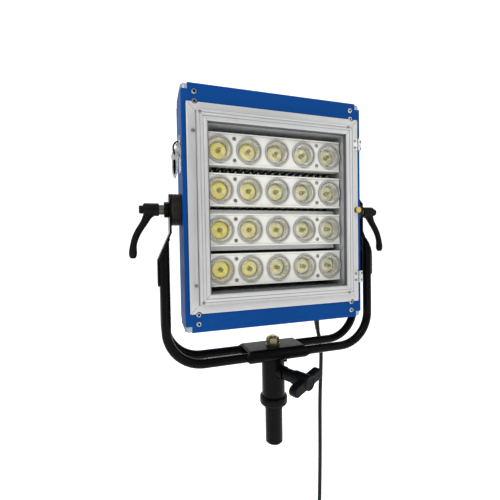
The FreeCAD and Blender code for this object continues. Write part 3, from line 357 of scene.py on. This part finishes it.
MATERIALS = {
    "case_blue": powder_coat("case_blue", BLUE, spread=0.05, low=0.42, high=0.5, specular=0.02),
    "corner_silver": bare_metal("corner_silver", srgb(150, 156, 168), low=0.3, high=0.45, metallic=0.4),
    "frame_silver": bare_metal("frame_silver", SILVER, spread=0.03, low=0.36, high=0.48, grain=60.0,
                               along=(1, 12, 1), metallic=0.35),
    "zinc_bright": bare_metal("zinc_bright", srgb(168, 174, 184), low=0.18, high=0.3, metallic=0.8),
    "zinc_screw": bare_metal("zinc_screw", srgb(142, 141, 134), low=0.25, high=0.45),
    "hinge_steel": bare_metal("hinge_steel", srgb(200, 202, 204), low=0.3, high=0.42, metallic=0.5),
    "liner_mirror": bare_metal("liner_mirror", srgb(196, 199, 202), low=0.24, high=0.36, metallic=0.5),
    "strip_white": powder_coat("strip_white", srgb(216, 216, 209), spread=0.03, low=0.4, high=0.5,
                               specular=0.3),
    "heat_alu": bare_metal("heat_alu", srgb(214, 215, 214), low=0.4, high=0.6, metallic=0.3),
    # Painted shade: the heat sink's back plate is dark so the gaps between the fins read as deep shade
    "sink_dark": powder_coat("sink_dark", srgb(20, 20, 22), low=0.5, high=0.7),
    "seal_rubber": moulded("seal_rubber", srgb(86, 89, 92), low=0.5, high=0.65),
    "board": moulded("board", srgb(225, 228, 220), spread=0.04),
    "driver": moulded("driver", srgb(40, 110, 60)),
    "phosphor": phosphor_with_painted_fade("phosphor"),
    "ring_grey": moulded("ring_grey", srgb(158, 157, 157), spread=0.06, low=0.3, high=0.4),
    "cup_wall": bare_metal("cup_wall", srgb(204, 204, 197), spread=0.1, low=0.14, high=0.24,
                           grain=80.0, strength=0.04, metallic=0.5),
    "lens_core": moulded("lens_core", srgb(132, 128, 88), spread=0.25, low=0.06, high=0.12,
                         grain=60.0, strength=0.1),
    "lens_clear": clear_plastic_painted_rings("lens_clear"),
    "black_box": powder_coat("black_box", BLACK),
    "black_plastic": moulded("black_plastic", srgb(20, 20, 22)),
    "knob_plastic": moulded("knob_plastic", srgb(22, 22, 24)),
    "print_white": moulded("print_white", srgb(220, 222, 222), spread=0.04),
    "vent_mesh": bare_metal("vent_mesh", srgb(44, 44, 46), low=0.5, high=0.7, metallic=0.6),
    "latch_steel": bare_metal("latch_steel", srgb(196, 197, 196), low=0.2, high=0.4, metallic=0.6),
    "black_oxide": bare_metal("black_oxide", srgb(24, 24, 25), low=0.3, high=0.5),
    "brass": bare_metal("brass", srgb(160, 142, 78), low=0.22, high=0.36),
    "olive_barrel": bare_metal("olive_barrel", srgb(128, 122, 66), low=0.3, high=0.5),
    "disc_dark": powder_coat("disc_dark", srgb(30, 22, 15), spread=0.3, low=0.4, high=0.6, specular=0.2),
    "stud_steel": bare_metal("stud_steel", srgb(150, 150, 150), low=0.3, high=0.5),
    "black_satin": powder_coat("black_satin", srgb(9, 9, 9), spread=0.15, low=0.22, high=0.3,
                               specular=0.06),
    "handle_black": moulded("handle_black", srgb(11, 12, 14), low=0.36, high=0.48, specular=0.08),
    "insert_metal": bare_metal("insert_metal", srgb(92, 88, 76), low=0.3, high=0.5),
    "nut_zinc": bare_metal("nut_zinc", srgb(128, 122, 94), low=0.25, high=0.4),
    "cord_black": moulded("cord_black", srgb(15, 15, 17), low=0.5, high=0.65, specular=0.2),
    "tie_black": moulded("tie_black", srgb(26, 26, 28), low=0.7, high=0.85, grain=1400.0, strength=0.5),
    "bolt_thread": threaded("bolt_thread", srgb(190, 178, 128), THREAD_PITCH, "Z"),
    "wing_thread": threaded("wing_thread", srgb(70, 70, 72), THREAD_PITCH, "X", WING_TURN),
}

# Every CAD node shows the material of its slot in the record, the two threads apart
THREADED_NODES = {"centre_bolt": "bolt_thread", "wing_screw": "wing_thread"}

node_slots = {row["node"]: row["material_slot"] for row in frame["record"]["subparts"]}
for node, piece in NODES.items():
    finish = THREADED_NODES.get(node, node_slots[node])
    piece.data.materials.clear()
    piece.data.materials.append(MATERIALS[finish])


# ---------------------------------------------------------------- helpers for pieces

def new_piece(name, mesh, finish, body):
    piece = bpy.data.objects.new(name, mesh)
    bpy.context.scene.collection.objects.link(piece)
    mesh.materials.append(MATERIALS[finish])
    if body:
        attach(piece, body)
    return piece


def mesh_from(name, vertices, faces, smooth=True):
    # Vertices in millimetres, in the row frame
    data = bpy.data.meshes.new(name)
    data.from_pydata([Vector(v) * MM for v in vertices], [], faces)
    data.validate()
    for polygon in data.polygons:
        polygon.use_smooth = smooth
    return data


class Shape:
    """Collects many simple forms in one mesh."""

    def __init__(self):
        self.vertices = []
        self.faces = []

    def rings(self, rings, cap_start=False, cap_end=False):
        # Join loops of points, each of the same count
        count = len(rings[0])
        first = len(self.vertices)
        for ring in rings:
            self.vertices += [tuple(point) for point in ring]
        for i in range(len(rings) - 1):
            a = first + i * count
            b = a + count
            for k in range(count):
                on = (k + 1) % count
                self.faces.append((a + k, a + on, b + on, b + k))
        if cap_start:
            self.faces.append(tuple(range(first + count - 1, first - 1, -1)))
        if cap_end:
            last = first + (len(rings) - 1) * count
            self.faces.append(tuple(range(last, last + count)))

    def lathe(self, profile, centre, axis, sides=32, cap_start=False, cap_end=False):
        # Profile of (radius, distance) along the axis from the centre
        way = Vector(axis).normalized()
        side = way.orthogonal().normalized()
        other = way.cross(side)
        rings = []
        for radius, distance in profile:
            ring = []
            for k in range(sides):
                angle = 2 * math.pi * k / sides
                out = side * (radius * math.cos(angle)) + other * (radius * math.sin(angle))
                ring.append(Vector(centre) + way * distance + out)
            rings.append(ring)
        self.rings(rings, cap_start, cap_end)

    def sweep(self, path, radii, sides=12):
        # Tube along a path, turned as little as possible from point to point
        side = (path[1] - path[0]).orthogonal().normalized()
        rings = []
        for i, place in enumerate(path):
            way = (path[min(i + 1, len(path) - 1)] - path[max(i - 1, 0)]).normalized()
            side = (side - way * side.dot(way)).normalized()
            other = way.cross(side)
            ring = []
            for k in range(sides):
                angle = 2 * math.pi * k / sides
                ring.append(place + (side * math.cos(angle) + other * math.sin(angle)) * radii[i])
            rings.append(ring)
        self.rings(rings, True, True)

    def box(self, low, high):
        x0, y0, z0 = low
        x1, y1, z1 = high
        self.rings([
            [(x0, y0, z0), (x1, y0, z0), (x1, y1, z0), (x0, y1, z0)],
            [(x0, y0, z1), (x1, y0, z1), (x1, y1, z1), (x0, y1, z1)]
        ], True, True)

    def mesh(self, name, smooth=True):
        return mesh_from(name, self.vertices, self.faces, smooth)


BEVEL_ANGLE = math.radians(25.0)
SHARP_ANGLE = math.radians(40.0)
FLAT_ANGLE = math.radians(0.5)
MERGE_REACH = 1e-6
BEVEL_SEGMENTS = 2


def bevelled(node, body, width):
    # A copy of the node's own form with its edges softened, in place of the node
    source = NODES[node].data
    copy = bpy.data.meshes.new(node + "_soft")
    form = bmesh.new()
    form.from_mesh(source)
    bmesh.ops.remove_doubles(form, verts=form.verts, dist=MERGE_REACH)
    bmesh.ops.dissolve_limit(form, angle_limit=FLAT_ANGLE, verts=form.verts, edges=form.edges)
    form.to_mesh(copy)
    form.free()
    for polygon in copy.polygons:
        polygon.use_smooth = True
    copy.set_sharp_from_angle(angle=SHARP_ANGLE)
    piece = new_piece(node + "_soft", copy, node_slots[node], body)
    bevel = piece.modifiers.new("bevel", "BEVEL")
    bevel.width = width * MM
    bevel.segments = BEVEL_SEGMENTS
    bevel.limit_method = "ANGLE"
    bevel.angle_limit = BEVEL_ANGLE
    bevel.harden_normals = True
    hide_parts(node)


# ---------------------------------------------------------------- softened edges

# Bevel width of each node, by the body it rides on
SOFTENED = {
    "head": (
        ("casing_wrap", 0.8), ("front_bezel", 0.6), ("back_panel", 0.6), ("rear_box", 1.5),
        ("strip_covers", 0.35), ("latch_base", 0.25), ("latch_keeper", 0.4), ("hinge_leaves_casing", 0.3)
    ),
    "door": (
        ("frame_top", 0.22), ("frame_bottom", 0.22), ("frame_left", 0.22), ("frame_right", 0.22),
        ("hinge_leaves_door", 0.25)
    ),
    "yoke": (("arm_plates", 0.9), ("clamp_plate_top", 1.2), ("clamp_plate_bottom", 1.2)),
    "latch_lever": (("latch_lever", 0.5),),
}
for body, rows in SOFTENED.items():
    for node, width in rows:
        bevelled(node, body, width)


# ---------------------------------------------------------------- lenses

LENS_FRONT_Y = -32.4
LENS_FLOOR_Y = -19.4
CUP_RADIUS = 17.6
LENS_ROWS = 4
LENS_COLUMNS = 5


def lens_centres():
    for row in range(LENS_ROWS):
        for column in range(LENS_COLUMNS):
            x = LENS_PITCH_X * (column - (LENS_COLUMNS - 1) / 2)
            z = HEAD_Z + LENS_PITCH_Z * (row - (LENS_ROWS - 1) / 2)
            yield (x, z)


def make_lenses():
    # Per lens: a bright cup wall, a yellow floor, an olive core and a moulded front
    cups = Shape()
    floors = Shape()
    cores = Shape()
    fronts = Shape()
    depth = LENS_FLOOR_Y - LENS_FRONT_Y
    for x, z in lens_centres():
        centre = (x, LENS_FLOOR_Y, z)
        cups.lathe([
            (FLOOR_RADIUS, 0.2), (FLOOR_RADIUS + 0.7, 2.6), (FLOOR_RADIUS + 1.9, 6.0),
            (FLOOR_RADIUS + 3.3, 9.4), (CUP_RADIUS, 11.6), (CUP_RADIUS, depth - 0.6)
        ], centre, TO_FRONT, sides=24)
        floors.lathe([
            (FLOOR_RADIUS + 0.3, 0.4), (11.0, 1.1), (7.6, 1.5), (5.0, 1.3), (3.9, 0.7), (3.2, 0.7)
        ], centre, TO_FRONT, sides=24, cap_start=True, cap_end=True)
        cores.lathe([
            (3.6, 1.2), (3.0, 5.0), (2.7, depth - 2.6), (2.5, depth - 1.6), (1.8, depth - 0.8),
            (0.8, depth - 0.5)
        ], centre, TO_FRONT, sides=20, cap_end=True)
        fronts.lathe([
            (CUP_RADIUS, depth - 1.0), (14.8, depth - 0.3), (13.6, depth - 0.6), (9.0, depth - 0.2),
            (6.0, depth - 0.5), (3.2, depth - 0.9)
        ], centre, TO_FRONT, sides=36)
    new_piece("lens_cups", cups.mesh("lens_cups"), "cup_wall", "head")
    new_piece("lens_floors", floors.mesh("lens_floors"), "phosphor", "head")
    new_piece("lens_cores", cores.mesh("lens_cores"), "lens_core", "head")
    front = new_piece("lens_fronts", fronts.mesh("lens_fronts"), "lens_clear", "head")
    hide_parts("lenses")


make_lenses()


# ---------------------------------------------------------------- rear details

KNOB_X = -60.0
KNOB_Z = HEAD_Z - 95.0
SWITCH_X = 10.0
BEZEL_SCREW_X = 127.3
BEZEL_SCREW_HEIGHTS = (151.2, 164.8)
BACK_SCREW_X = 138.0
BACK_SCREW_HEIGHTS = (52.0, 158.0)
DIAL_MARKS = 11
DIAL_START = 225.0
DIAL_STEP = 27.0
DIAL_RADII = (14.2, 15.2)
MESH_WIDE = 80.0
MESH_TALL = 98.0
MESH_PITCH = 2.5
MESH_Y = 34.2
WIRE_WIDE = 0.5
LOOP_Y = -15.0
LOOP_LINE = ((-156.7, 72.4), (-157.1, 61.0), (-156.5, 54.0), (-155.2, 50.6), (-153.7, 54.0),
             (-153.0, 62.0), (-153.5, 72.4))


def make_dial_marks():
    # Marks of two printed dots each round the dimmer, larger at both ends and half way
    marks = Shape()
    for i in range(DIAL_MARKS):
        angle = math.radians(DIAL_START - DIAL_STEP * i)
        size = 0.55 if i % 5 else 0.85
        for radius in DIAL_RADII:
            x = KNOB_X - radius * math.cos(angle)
            z = KNOB_Z + radius * math.sin(angle)
            profile = [(size, 0.0), (size, 0.15)]
            marks.lathe(profile, (x, BACK_Y, z), TO_BACK, sides=10, cap_end=True)
    return marks


def make_screw_socket_shade():
    # Hexagonal recesses in the button heads of the casing screws, lined in black as painted shade
    socket_shade = Shape()
    profile = [(1.86, 2.1), (1.84, 1.0), (1.0, 0.95)]
    groups = ((-1, BEZEL_SCREW_X, BEZEL_SCREW_HEIGHTS), (1, BACK_SCREW_X, BACK_SCREW_HEIGHTS))
    for side, across, heights in groups:
        for sx in (-1, 1):
            for height in heights:
                for sz in (-1, 1):
                    centre = (sx * across, side * BACK_Y, HEAD_Z + sz * height)
                    socket_shade.lathe(profile, centre, (0, side, 0), sides=6, cap_end=True)
    return socket_shade


def make_loop_shade_sheet():
    # Painted shade: a dark sheet inside the finger loop on the latch lever
    shade_sheet = Shape()
    front = [(x, LOOP_Y - 3.8, HEAD_Z + z) for x, z in LOOP_LINE]
    back = [(x, LOOP_Y + 2.5, HEAD_Z + z) for x, z in LOOP_LINE]
    shade_sheet.rings([front, back], cap_end=True)
    return shade_sheet


def make_switch_surround():
    # Raised lip round the rocker switch, from its foot over the rim and down inside
    surround = Shape()
    rings = []
    for half_w, half_h, depth in ((12.4, 9.2, 0.0), (12.0, 8.8, 1.2), (9.9, 6.7, 1.2), (9.7, 6.5, 0.1)):
        corners = []
        for sx, sz in ((-1, -1), (1, -1), (1, 1), (-1, 1)):
            corners.append((SWITCH_X + sx * half_w, BACK_Y + depth, KNOB_Z + sz * half_h))
        rings.append(corners)
    surround.rings(rings)
    return surround


def make_vent_mesh():
    # Two fields of crossed wires behind the vent slots
    mesh = Shape()
    half = WIRE_WIDE / 2
    low_z = HEAD_Z + 15
    for side in (-1, 1):
        low_x = side * 70 - MESH_WIDE / 2
        for i in range(33):
            x = low_x + MESH_PITCH * i
            mesh.box((x - half, MESH_Y, low_z), (x + half, MESH_Y + WIRE_WIDE, low_z + MESH_TALL))
        for i in range(40):
            z = low_z + MESH_PITCH * i
            mesh.box((low_x, MESH_Y - WIRE_WIDE, z - half), (low_x + MESH_WIDE, MESH_Y, z + half))
    return mesh


def flat_piece(name, shape, finish, body):
    new_piece(name, shape.mesh(name, smooth=False), finish, body)


# Painted shade: a dark sheet in the latch's finger loop
flat_piece("loop_shade_sheet", make_loop_shade_sheet(), "black_oxide", "latch_lever")
# Painted shade: black insides in the casing screws' sockets
flat_piece("screw_socket_shade", make_screw_socket_shade(), "black_oxide", "head")
flat_piece("dial_marks", make_dial_marks(), "print_white", "head")
flat_piece("switch_surround", make_switch_surround(), "black_plastic", "head")
flat_piece("vent_mesh", make_vent_mesh(), "vent_mesh", "head")


# ---------------------------------------------------------------- weld beads on the arm plates

TUBE_RADIUS = 7.0
TUBE_Y = 20.0
TUBE_X = 172.2
PLATE_KNEE = ((161.0, HEAD_Z - 33), (179.2, HEAD_Z - 73))
WELD_STEPS = 24


def make_welds():
    # A bead round each tube's top, following the slope of the arm plate
    welds = Shape()
    (x0, z0), (x1, z1) = PLATE_KNEE
    way = Vector((x1 - x0, 0, z1 - z0)).normalized()
    reach = TUBE_RADIUS + 0.3
    radii = [1.3 + 0.25 * math.sin(3.1 * step) for step in range(WELD_STEPS + 1)]
    for side in (-1, 1):
        for tube in (-1, 1):
            path = []
            for step in range(WELD_STEPS + 1):
                angle = 2 * math.pi * step / WELD_STEPS
                x = TUBE_X + reach * math.cos(angle)
                y = tube * TUBE_Y + reach * math.sin(angle)
                along = min(max((x - x0) / way.x, 0.0), (x1 - x0) / way.x)
                path.append(Vector((side * x, y, z0 + way.z * along - 0.4)))
            welds.sweep(path, radii, sides=8)
    new_piece("weld_beads", welds.mesh("weld_beads"), "black_satin", "yoke")


make_welds()


# ---------------------------------------------------------------- mains cord

# The diameter is in metres. The cord hangs in one plane behind the lamp, by the same points
# as in the CAD, and its spare length is a tied coil with the plug on it.
CORD_D = 0.0072
CORD_Y = 53.0
COIL_TURNS = 11
COIL_MID_R = 36.0
COIL_SLOTS_A_ROW = 3
COIL_ROW_PITCH = 6.3
COIL_SLOT_PITCH = 7.3
COIL_ROW_SHIFT = 1.7
COIL_TURN_STEPS = 24
CROSSING_START = 0.7
CORD_ROUTE = [
    (112.0, CORD_Y, 134.0), (112.0, CORD_Y, 112.0), (122.0, CORD_Y, 70.0),
    (120.5, CORD_Y, 22.0), (117.6, CORD_Y, -36.0), (117.3, CORD_Y, -95.0),
    (116.6, CORD_Y, -154.0), (115.2, CORD_Y, -212.0), (115.0, CORD_Y, -282.5)
]
COIL_CENTRE = (151.0, -313.5)
PLUG_X = 115.0
PLUG_TOP = -346.5
BOOT_TOP = 137.0
BOOT_FOOT = 102.0
BOOT_STEPS = 34
BOOT_RADIUS = 6.3
BOOT_TAPER = 2.1
BOOT_GROOVE = 0.45
TIE_ANGLES = (58.0, 236.0)
TIE_HALF_OUT = 13.8
TIE_HALF_SIDE = 13.2
TIE_STEPS = 32


def coil_slots():
    # Places of the turns in the bundle, row by row from the outside in
    places = []
    rows = math.ceil(COIL_TURNS / COIL_SLOTS_A_ROW)
    for row in range(rows):
        out = ((rows - 1) / 2 - row) * COIL_ROW_PITCH
        shift = COIL_ROW_SHIFT if row % 2 else -COIL_ROW_SHIFT
        across = [(i - 1) * COIL_SLOT_PITCH + shift for i in range(COIL_SLOTS_A_ROW)]
        if row % 2:
            across.reverse()
        places += [(out, y) for y in across]
    return places[:COIL_TURNS]


def coil_points():
    # The cord comes down on the coil's left. Each turn ends there, and slides over to the
    # next place in the bundle in the last part of its round
    centre_x, centre_z = COIL_CENTRE
    slots = coil_slots()
    points = []
    for turn, here in enumerate(slots):
        onward = slots[min(turn + 1, len(slots) - 1)]
        for step in range(COIL_TURN_STEPS):
            share = step / COIL_TURN_STEPS
            cross = min(max((share - CROSSING_START) / (1 - CROSSING_START), 0.0), 1.0)
            cross = cross * cross * (3 - 2 * cross)
            out = here[0] + (onward[0] - here[0]) * cross
            side = here[1] + (onward[1] - here[1]) * cross
            angle = math.pi + 2 * math.pi * share
            radius = COIL_MID_R + out
            x = centre_x + radius * math.cos(angle)
            z = centre_z + radius * math.sin(angle)
            points.append((x, CORD_Y + side, z))
    return points


def cord_line(points):
    # Evaluate the cord's smooth centre line
    data = bpy.data.curves.new("cord_line", "CURVE")
    data.dimensions = "3D"
    data.resolution_u = 5
    line = data.splines.new("NURBS")
    line.points.add(len(points) - 1)
    for point, place in zip(line.points, points):
        point.co = (place[0] * MM, place[1] * MM, place[2] * MM, 1.0)
    line.order_u = 3
    line.use_endpoint_u = True
    guide = bpy.data.objects.new("cord_line", data)
    bpy.context.scene.collection.objects.link(guide)
    bpy.context.view_layer.update()
    traced = bpy.data.meshes.new_from_object(guide.evaluated_get(bpy.context.evaluated_depsgraph_get()))
    path = [vertex.co / MM for vertex in traced.vertices]
    bpy.data.meshes.remove(traced)
    bpy.data.objects.remove(guide)
    return path


def tie_path(angle):
    # A loop round the bundle where it passes this angle of the coil
    centre_x, centre_z = COIL_CENTRE
    outward = Vector((math.cos(angle), 0.0, math.sin(angle)))
    middle = Vector((centre_x, CORD_Y, centre_z)) + outward * COIL_MID_R
    sideways = Vector((0.0, 1.0, 0.0))
    loop = []
    for step in range(TIE_STEPS + 1):
        turn = 2 * math.pi * step / TIE_STEPS
        out = outward * (TIE_HALF_OUT * math.cos(turn))
        loop.append(middle + out + sideways * (TIE_HALF_SIDE * math.sin(turn)))
    return loop


def make_sheath():
    # The whole cord in one tube, from the gland through the coil to the plug
    end_out, end_side = coil_slots()[-1]
    end_x = COIL_CENTRE[0] - COIL_MID_R - end_out
    tail = [
        (end_x, CORD_Y + end_side, COIL_CENTRE[1]),
        (end_x - 1.0, CORD_Y + end_side, COIL_CENTRE[1] - 12.0),
        (PLUG_X, CORD_Y, PLUG_TOP + 6.0), (PLUG_X, CORD_Y, PLUG_TOP - 4.0)
    ]
    path = cord_line(CORD_ROUTE[:-1] + coil_points() + tail)
    sheath = Shape()
    sheath.sweep(path, [CORD_D / 2 / MM] * len(path), sides=14)
    cord = new_piece("cord", sheath.mesh("cord"), "cord_black", None)
    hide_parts("cord_tube", "cord_coil")
    return cord, path


def even_places(spots, steps):
    # Places at equal steps along a line of points
    lengths = [0.0]
    for a, b in zip(spots, spots[1:]):
        lengths.append(lengths[-1] + (b - a).length)
    places = []
    for step in range(steps + 1):
        reach = lengths[-1] * step / steps
        index = max(i for i, length in enumerate(lengths) if length <= reach + 1e-6)
        onward = min(index + 1, len(spots) - 1)
        gap = lengths[onward] - lengths[index]
        share = (reach - lengths[index]) / gap if gap > 0 else 0.0
        places.append(spots[index].lerp(spots[onward], share))
    return places


def make_boot():
    # Tapered sleeve with grooves that takes the bend below the gland
    upper_line = [place for place in cord_line(CORD_ROUTE[:4]) if place.z > BOOT_FOOT]
    start = Vector((CORD_ROUTE[0][0], CORD_Y, BOOT_TOP))
    radii = []
    for step in range(BOOT_STEPS + 1):
        grooved = step % 4 in (2, 3) and 4 < step < BOOT_STEPS - 3
        radius = BOOT_RADIUS - BOOT_TAPER * step / BOOT_STEPS
        radii.append(radius - BOOT_GROOVE if grooved else radius)
    boot = Shape()
    boot.sweep(even_places([start] + upper_line, BOOT_STEPS), radii, sides=24)
    return new_piece("cord_boot", boot.mesh("cord_boot"), "black_plastic", None)


def make_ties():
    # Two ties of four strands each
    ties = []
    for number, degrees in enumerate(TIE_ANGLES):
        band = Shape()
        for strand in (-4.8, -1.6, 1.6, 4.8):
            loop = tie_path(math.radians(degrees + strand))
            band.sweep(loop, [1.1] * len(loop), sides=8)
        mesh = band.mesh("coil_tie")
        ties.append(new_piece("coil_tie_%d" % number, mesh, "tie_black", "yoke"))
    return ties


def make_cord():
    cord, path = make_sheath()
    sleeve = make_boot()
    ties = make_ties()
    for piece in (cord, sleeve):
        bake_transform(piece)


make_cord()


# ---------------------------------------------------------------- floor and light

# The studio floor and its lights are in metres
FLOOR_BELOW = 0.03
FLOOR_HALF = 14.0
FLOOR_FRONT = -6.0
FLOOR_BACK = 5.0
FLOOR_BEND = 2.0
FLOOR_WALL = 9.0
BEND_STEPS = 12


def make_floor():
    # A pale floor that bends up into a wall behind the lamp
    floor_z = cad_low.z - FLOOR_BELOW
    outline = [(FLOOR_FRONT, floor_z)]
    for step in range(BEND_STEPS + 1):
        angle = math.radians(90 * step / BEND_STEPS)
        y = FLOOR_BACK - FLOOR_BEND + FLOOR_BEND * math.sin(angle)
        z = floor_z + FLOOR_BEND - FLOOR_BEND * math.cos(angle)
        outline.append((y, z))
    outline.append((FLOOR_BACK, floor_z + FLOOR_WALL))
    vertices = []
    faces = []
    for y, z in outline:
        vertices += [(-FLOOR_HALF, y, z), (FLOOR_HALF, y, z)]
    for i in range(len(outline) - 1):
        faces.append((2 * i, 2 * i + 1, 2 * i + 3, 2 * i + 2))
    data = bpy.data.meshes.new("floor")
    data.from_pydata(vertices, [], faces)
    for polygon in data.polygons:
        polygon.use_smooth = True
    floor = bpy.data.objects.new("floor", data)
    bpy.context.scene.collection.objects.link(floor)
    finish = Finish("floor_white", specular=0.1)
    finish.colour(finish.noise(1.5), [(0.3, (0.93, 0.93, 0.93, 1)), (0.7, (0.95, 0.95, 0.95, 1))])
    finish.shader.inputs["Roughness"].default_value = 0.9
    # A glow keeps the studio white where little light falls
    finish.shader.inputs["Emission Color"].default_value = WHITE
    finish.shader.inputs["Emission Strength"].default_value = 0.55
    data.materials.append(finish.material)


def area_light(name, place, target, wide, tall, power):
    # A soft panel of light, turned towards the target
    data = bpy.data.lights.new(name, "AREA")
    data.shape = "RECTANGLE"
    data.size = wide
    data.size_y = tall
    data.energy = power
    light = bpy.data.objects.new(name, data)
    light.location = place
    light.rotation_mode = "QUATERNION"
    light.rotation_quaternion = (Vector(target) - Vector(place)).to_track_quat("-Z", "Y")
    bpy.context.scene.collection.objects.link(light)


def make_light():
    # The studio is bright behind and beside the lamp and dimmer behind the camera
    world = bpy.data.worlds.new("world")
    world.use_nodes = True
    tree = world.node_tree
    backdrop = tree.nodes["Background"]
    backdrop.inputs["Color"].default_value = WHITE
    place = tree.nodes.new("ShaderNodeTexCoord")
    parts = tree.nodes.new("ShaderNodeSeparateXYZ")
    spread = tree.nodes.new("ShaderNodeMapRange")
    tree.links.new(place.outputs["Generated"], parts.inputs["Vector"])
    tree.links.new(parts.outputs["Y"], spread.inputs["Value"])
    spread.inputs["From Min"].default_value = -0.8
    spread.inputs["From Max"].default_value = 0.6
    spread.inputs["To Min"].default_value = 0.25
    spread.inputs["To Max"].default_value = 1.0
    tree.links.new(spread.outputs["Result"], backdrop.inputs["Strength"])
    bpy.context.scene.world = world
    middle = (0.0, 0.0, HEAD_Z * MM)
    area_light("key", (-0.9, -1.8, 1.6), middle, 1.2, 1.2, 24)
    area_light("fill", (1.4, -1.6, 0.9), middle, 1.2, 1.2, 9)
    area_light("top", (0.2, 0.2, 2.2), middle, 1.6, 1.0, 8)


make_floor()
make_light()
bpy.context.scene.view_settings.view_transform = "Standard"
